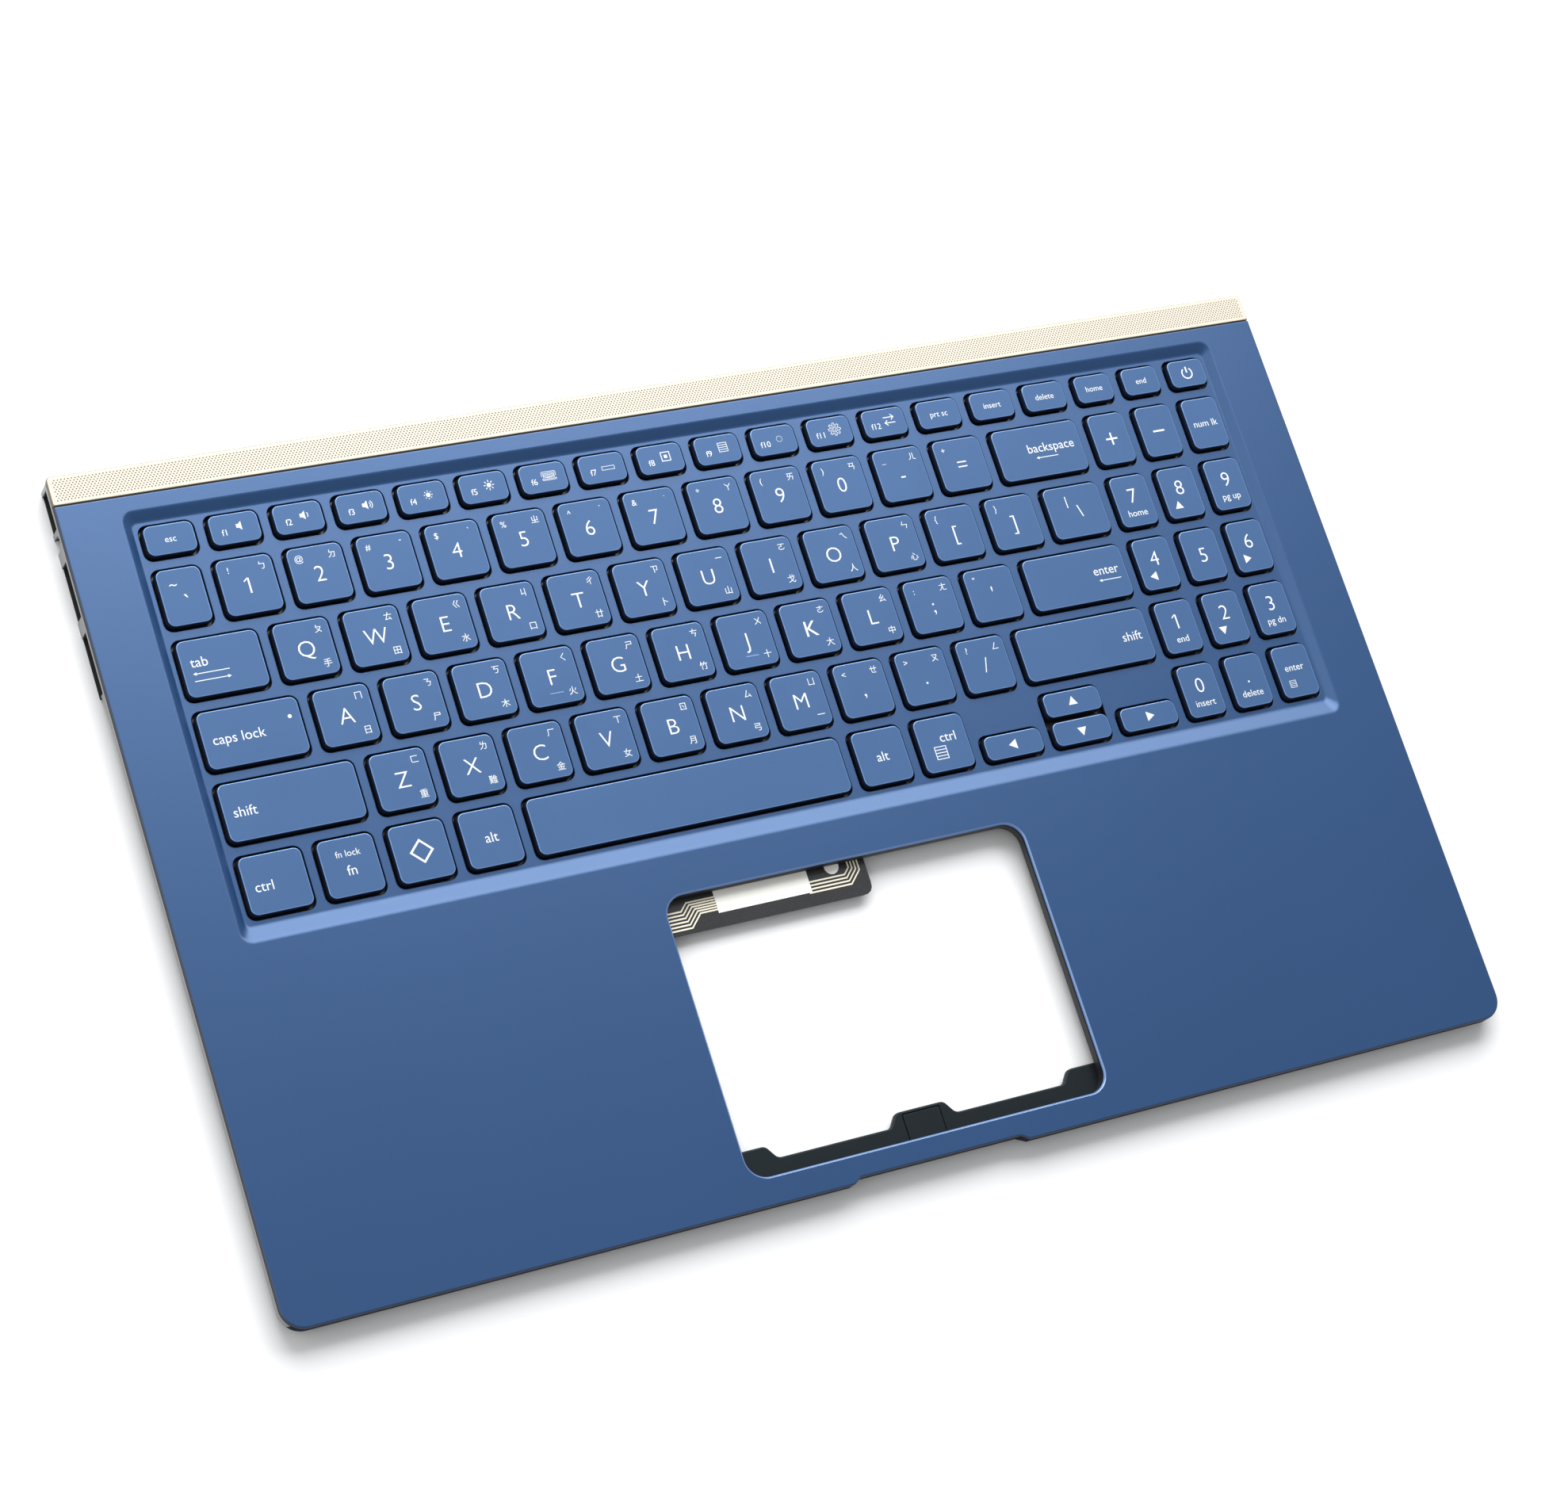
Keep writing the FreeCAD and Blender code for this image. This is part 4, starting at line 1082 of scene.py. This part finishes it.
# %% Make the fixed groups
GROUP_PRINTS = {
    "function_keys": (function_prints, list(zip(FUNCTION_WORDS, FUNCTION_ICONS))),
    "number_row_keys": (sign_prints, NUMBER_SIGNS),
    "punctuation_keys": (sign_prints, MARK_SIGNS),
    "number_pad_keys": (pad_prints, PAD_WORDS),
}
for node, plans in group_caps.items():
    draw, labels = GROUP_PRINTS[node]
    group = Piece()
    for plan, label in zip(plans, labels):
        add_cap(group, plan)
        add_dome(group, plan, CAP_TOP - CAP_ROOF)
        draw(group, plan, label)
    made = group.make(node.replace("_keys", "_caps"), "key")
    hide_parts(node)
    print(made.name, len(plans), "caps,", len(made.data.polygons), "faces")

# %% [markdown]
# ## Film, label and traces
# In the touchpad window a tongue of the keyboard's film shows. It is glossy black with silver traces that run side
# by side and turn by 45 degrees, and a bare white label lies across them. The film is drawn again with round corners,
# and the traces are thin ribbons laid on it.

# %% Film
film_plan, FILM_BOTTOM, FILM_TOP = place_of("key_membrane")
TONGUE_LEFT, TONGUE_RIGHT = -58.0, 7.0
TONGUE_ROOT = -13.1
FILM_CORNER = 3.0
film_left, film_front, film_right, film_rear = film_plan
film_corners = [(film_left, TONGUE_ROOT), (TONGUE_LEFT, TONGUE_ROOT), (TONGUE_LEFT, film_front)]
film_corners += [(TONGUE_RIGHT, film_front), (TONGUE_RIGHT, TONGUE_ROOT), (film_right, TONGUE_ROOT)]
film_corners += [(film_right, film_rear), (film_left, film_rear)]
film = Piece()
film.slab(softened(film_corners, FILM_CORNER), FILM_TOP, FILM_BOTTOM, film_black, smooth=True)
film_piece = film.make("film_sheet", "film")
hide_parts("key_membrane")
print("film", round(film_right - film_left, 1), "mm wide")

# %% [markdown]
# The traces at the left come in from the side, climb at 45 degrees and go on closer together. Those at the right
# leave the label, climb and turn to the rear. Low is nearer to the front and high nearer to the rear.

# %% Traces on the film
TRACE_LIFT = 0.02
TRACE_WIDTH = 0.42
TRACE_PITCH = 0.95
WINDOW_REAR = WINDOW[3]
LEFT_TRACES = 6
LEFT_START, LEFT_CLIMB, LEFT_END = -54.0, -45.2, -36.5
LEFT_LOW, LEFT_HIGH = WINDOW_REAR - 8.2, WINDOW_REAR - 4.9
LEFT_CLIMB_STEP = 0.35
CLOSER = 0.72
RIGHT_TRACES = 4
RIGHT_START, RIGHT_CLIMB, RIGHT_END = -10.8, 1.6, 4.9
RIGHT_LOW, RIGHT_HIGH = WINDOW_REAR - 6.0, WINDOW_REAR + 6.0
RIGHT_CLIMB_STEP = 0.4
SPOT_X, SPOT_Y = -2.6, WINDOW_REAR - 0.3
SPOT_RADIUS, SPOT_SIDES = 2.1, 18


def ribbon(piece, points, width):
    """Adds a flat ribbon along a line of points on the film."""
    sides = []
    for number, (x, y) in enumerate(points):
        before, after = points[max(number - 1, 0)], points[min(number + 1, len(points) - 1)]
        along = Vector((after[0] - before[0], after[1] - before[1])).normalized()
        across = Vector((-along.y, along.x)) * width / 2
        sides.append(((x + across.x, y + across.y), (x - across.x, y - across.y)))
    outline = [one for one, _ in sides] + [other for _, other in reversed(sides)]
    piece.slab(outline, FILM_TOP + TRACE_LIFT, FILM_TOP, trace_silver)


traces = Piece()
for number in range(LEFT_TRACES):
    low, high = LEFT_LOW + number * TRACE_PITCH, LEFT_HIGH + number * TRACE_PITCH * CLOSER
    climb = LEFT_CLIMB - number * LEFT_CLIMB_STEP
    ribbon(traces, [(LEFT_START, low), (climb, low), (climb + high - low, high), (LEFT_END, high)], TRACE_WIDTH)
for number in range(RIGHT_TRACES):
    low, end = RIGHT_LOW + number * TRACE_PITCH, RIGHT_END - number * TRACE_PITCH
    climb = RIGHT_CLIMB - number * RIGHT_CLIMB_STEP
    ribbon(traces, [(RIGHT_START, low), (climb, low), (end, low + end - climb), (end, RIGHT_HIGH)], TRACE_WIDTH)
traces.slab(circle(SPOT_X, SPOT_Y, SPOT_RADIUS, SPOT_SIDES), FILM_TOP + 2 * TRACE_LIFT, FILM_TOP, label_paper)
trace_piece = traces.make("film_traces", "film")
print("traces", LEFT_TRACES + RIGHT_TRACES, "on both sides of the label,", len(trace_piece.data.polygons), "faces")

# %% [markdown]
# ## Touchpad bracket
# The bracket is a moulded black rail with soft edges. Its outline has straight runs and slanted tabs, so it can't be
# drawn as a rounded rectangle. Its corners are softened instead, and the rings of its rounded edge are the same
# outline moved in by a little more each time.

# %% Bracket and pad
RAIL_CORNER = 1.1
RAIL_EDGE = 0.45
TAB_DEPTH = 3.6
END_TAB_TIP, END_TAB_ROOT = 44.4, 41.9
MIDDLE_TAB_TIP, MIDDLE_TAB_ROOT = 7.0, 9.5
GROOVE = 0.3
PAD_CORNER = 0.5
PAD_EDGE = 0.15
rail_plan, RAIL_BOTTOM, RAIL_TOP = place_of("touchpad_bracket")
pad_plan, PAD_BOTTOM, PAD_TOP = place_of("bracket_pad")


def rail_outline():
    """The bracket's plan: a rail with a tab at each end and one in the middle."""
    end, front, tip = rail_plan[2], rail_plan[1], rail_plan[3]
    rail = tip - TAB_DEPTH
    right = [(end, front), (end, tip), (END_TAB_TIP, tip), (END_TAB_ROOT, rail)]
    right += [(MIDDLE_TAB_ROOT, rail), (MIDDLE_TAB_TIP, tip)]
    return right + [(-x, y) for x, y in reversed(right)]


bracket = Piece()
outline = softened(rail_outline(), RAIL_CORNER)
rail_edges = [moved_in(outline, inset, RAIL_TOP - drop) for inset, drop in round_over(RAIL_EDGE)]
rail_foot = moved_in(outline, 0, RAIL_BOTTOM)
recess = [ring(grown(pad_plan, GROOVE), PAD_CORNER, z) for z in (RAIL_TOP, PAD_BOTTOM)]
bracket.block(rail_edges + [rail_foot], rail_black, holes=[recess[0]])
bracket.skin(recess, rail_black)
bracket.cover(recess[1], rail_black)
bracket_piece = bracket.make("rail_with_tabs", "bracket")
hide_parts("touchpad_bracket")
pad = Piece()
pad_edges = [ring(grown(pad_plan, -inset), PAD_CORNER, PAD_TOP - drop) for inset, drop in round_over(PAD_EDGE)]
pad_foot = ring(pad_plan, PAD_CORNER, PAD_BOTTOM)
pad.block(pad_edges + [pad_foot], rail_black)
pad_piece = pad.make("tab_pad", "bracket")
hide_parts("bracket_pad")
print("bracket", len(bracket_piece.data.polygons), "faces, pad", len(pad_piece.data.polygons))

# %% [markdown]
# ## Pieces that keep their CAD shape
# The label, the steel plate, the rivets and the brass standoffs are plain stamped or turned parts, and their CAD
# shapes are right. They only change their material.

# %% Finishes for CAD pieces
KEPT = {
    "membrane_label": label_paper,
    "key_plate": plate_steel,
    "plate_rivets": rivet_zinc,
    "brass_standoffs": brass,
}
for node, material in KEPT.items():
    node_mesh = frame["nodes"][node].data
    node_mesh.materials.clear()
    node_mesh.materials.append(material)
print("CAD shapes kept:", ", ".join(KEPT))

# %% [markdown]
# ## Floor and light
# The picture is a studio shot on white. A large soft lamp behind the deck gives the sheen that is bright at the rear
# left and fades to the front, and lights the front slope of the well. A weaker lamp at the left and a pale surround
# keep the shadows soft. The floor is a wide white sheet that isn't part of the object.

# %% Floor and light
SURROUND_STRENGTH = 0.48
FLOOR_HALF = 3.0


def lamp(name, place, aim, width, height, power):
    """Adds a soft rectangular lamp that shines towards a point."""
    data = bpy.data.lights.new(name, "AREA")
    data.shape = "RECTANGLE"
    data.size = width
    data.size_y = height
    data.energy = power
    light = bpy.data.objects.new(name, data)
    light.location = place
    light.rotation_mode = "QUATERNION"
    light.rotation_quaternion = (Vector(aim) - Vector(place)).to_track_quat("-Z", "Y")
    bpy.context.scene.collection.objects.link(light)


lamp("rear_softbox", place=(0.17, 1.0, 0.96), aim=(0.0, 0.05, 0.0), width=1.6, height=1.1, power=40.0)
lamp("left_softbox", place=(-1.05, 0.15, 1.0), aim=(0.0, 0.0, 0.0), width=1.4, height=1.4, power=9.0)
surround = bpy.data.worlds.new("surround")
surround.use_nodes = True
surround.node_tree.nodes["Background"].inputs["Color"].default_value = (1.0, 1.0, 1.0, 1.0)
surround.node_tree.nodes["Background"].inputs["Strength"].default_value = SURROUND_STRENGTH
bpy.context.scene.world = surround
bpy.context.scene.view_settings.view_transform = "Standard"

floor_mesh = bpy.data.meshes.new("floor")
floor_corners = [(x * FLOOR_HALF, y * FLOOR_HALF, 0) for x, y in ((-1, -1), (1, -1), (1, 1), (-1, 1))]
floor_mesh.from_pydata(floor_corners, [], [(0, 1, 2, 3)])
floor_mesh.materials.append(finish("floor_white", (218, 219, 220), (220, 221, 222), 2.0, rough=(0.6, 0.7)))
floor = bpy.data.objects.new("floor", floor_mesh)
bpy.context.scene.collection.objects.link(floor)
print("lamps", len(bpy.data.lights))
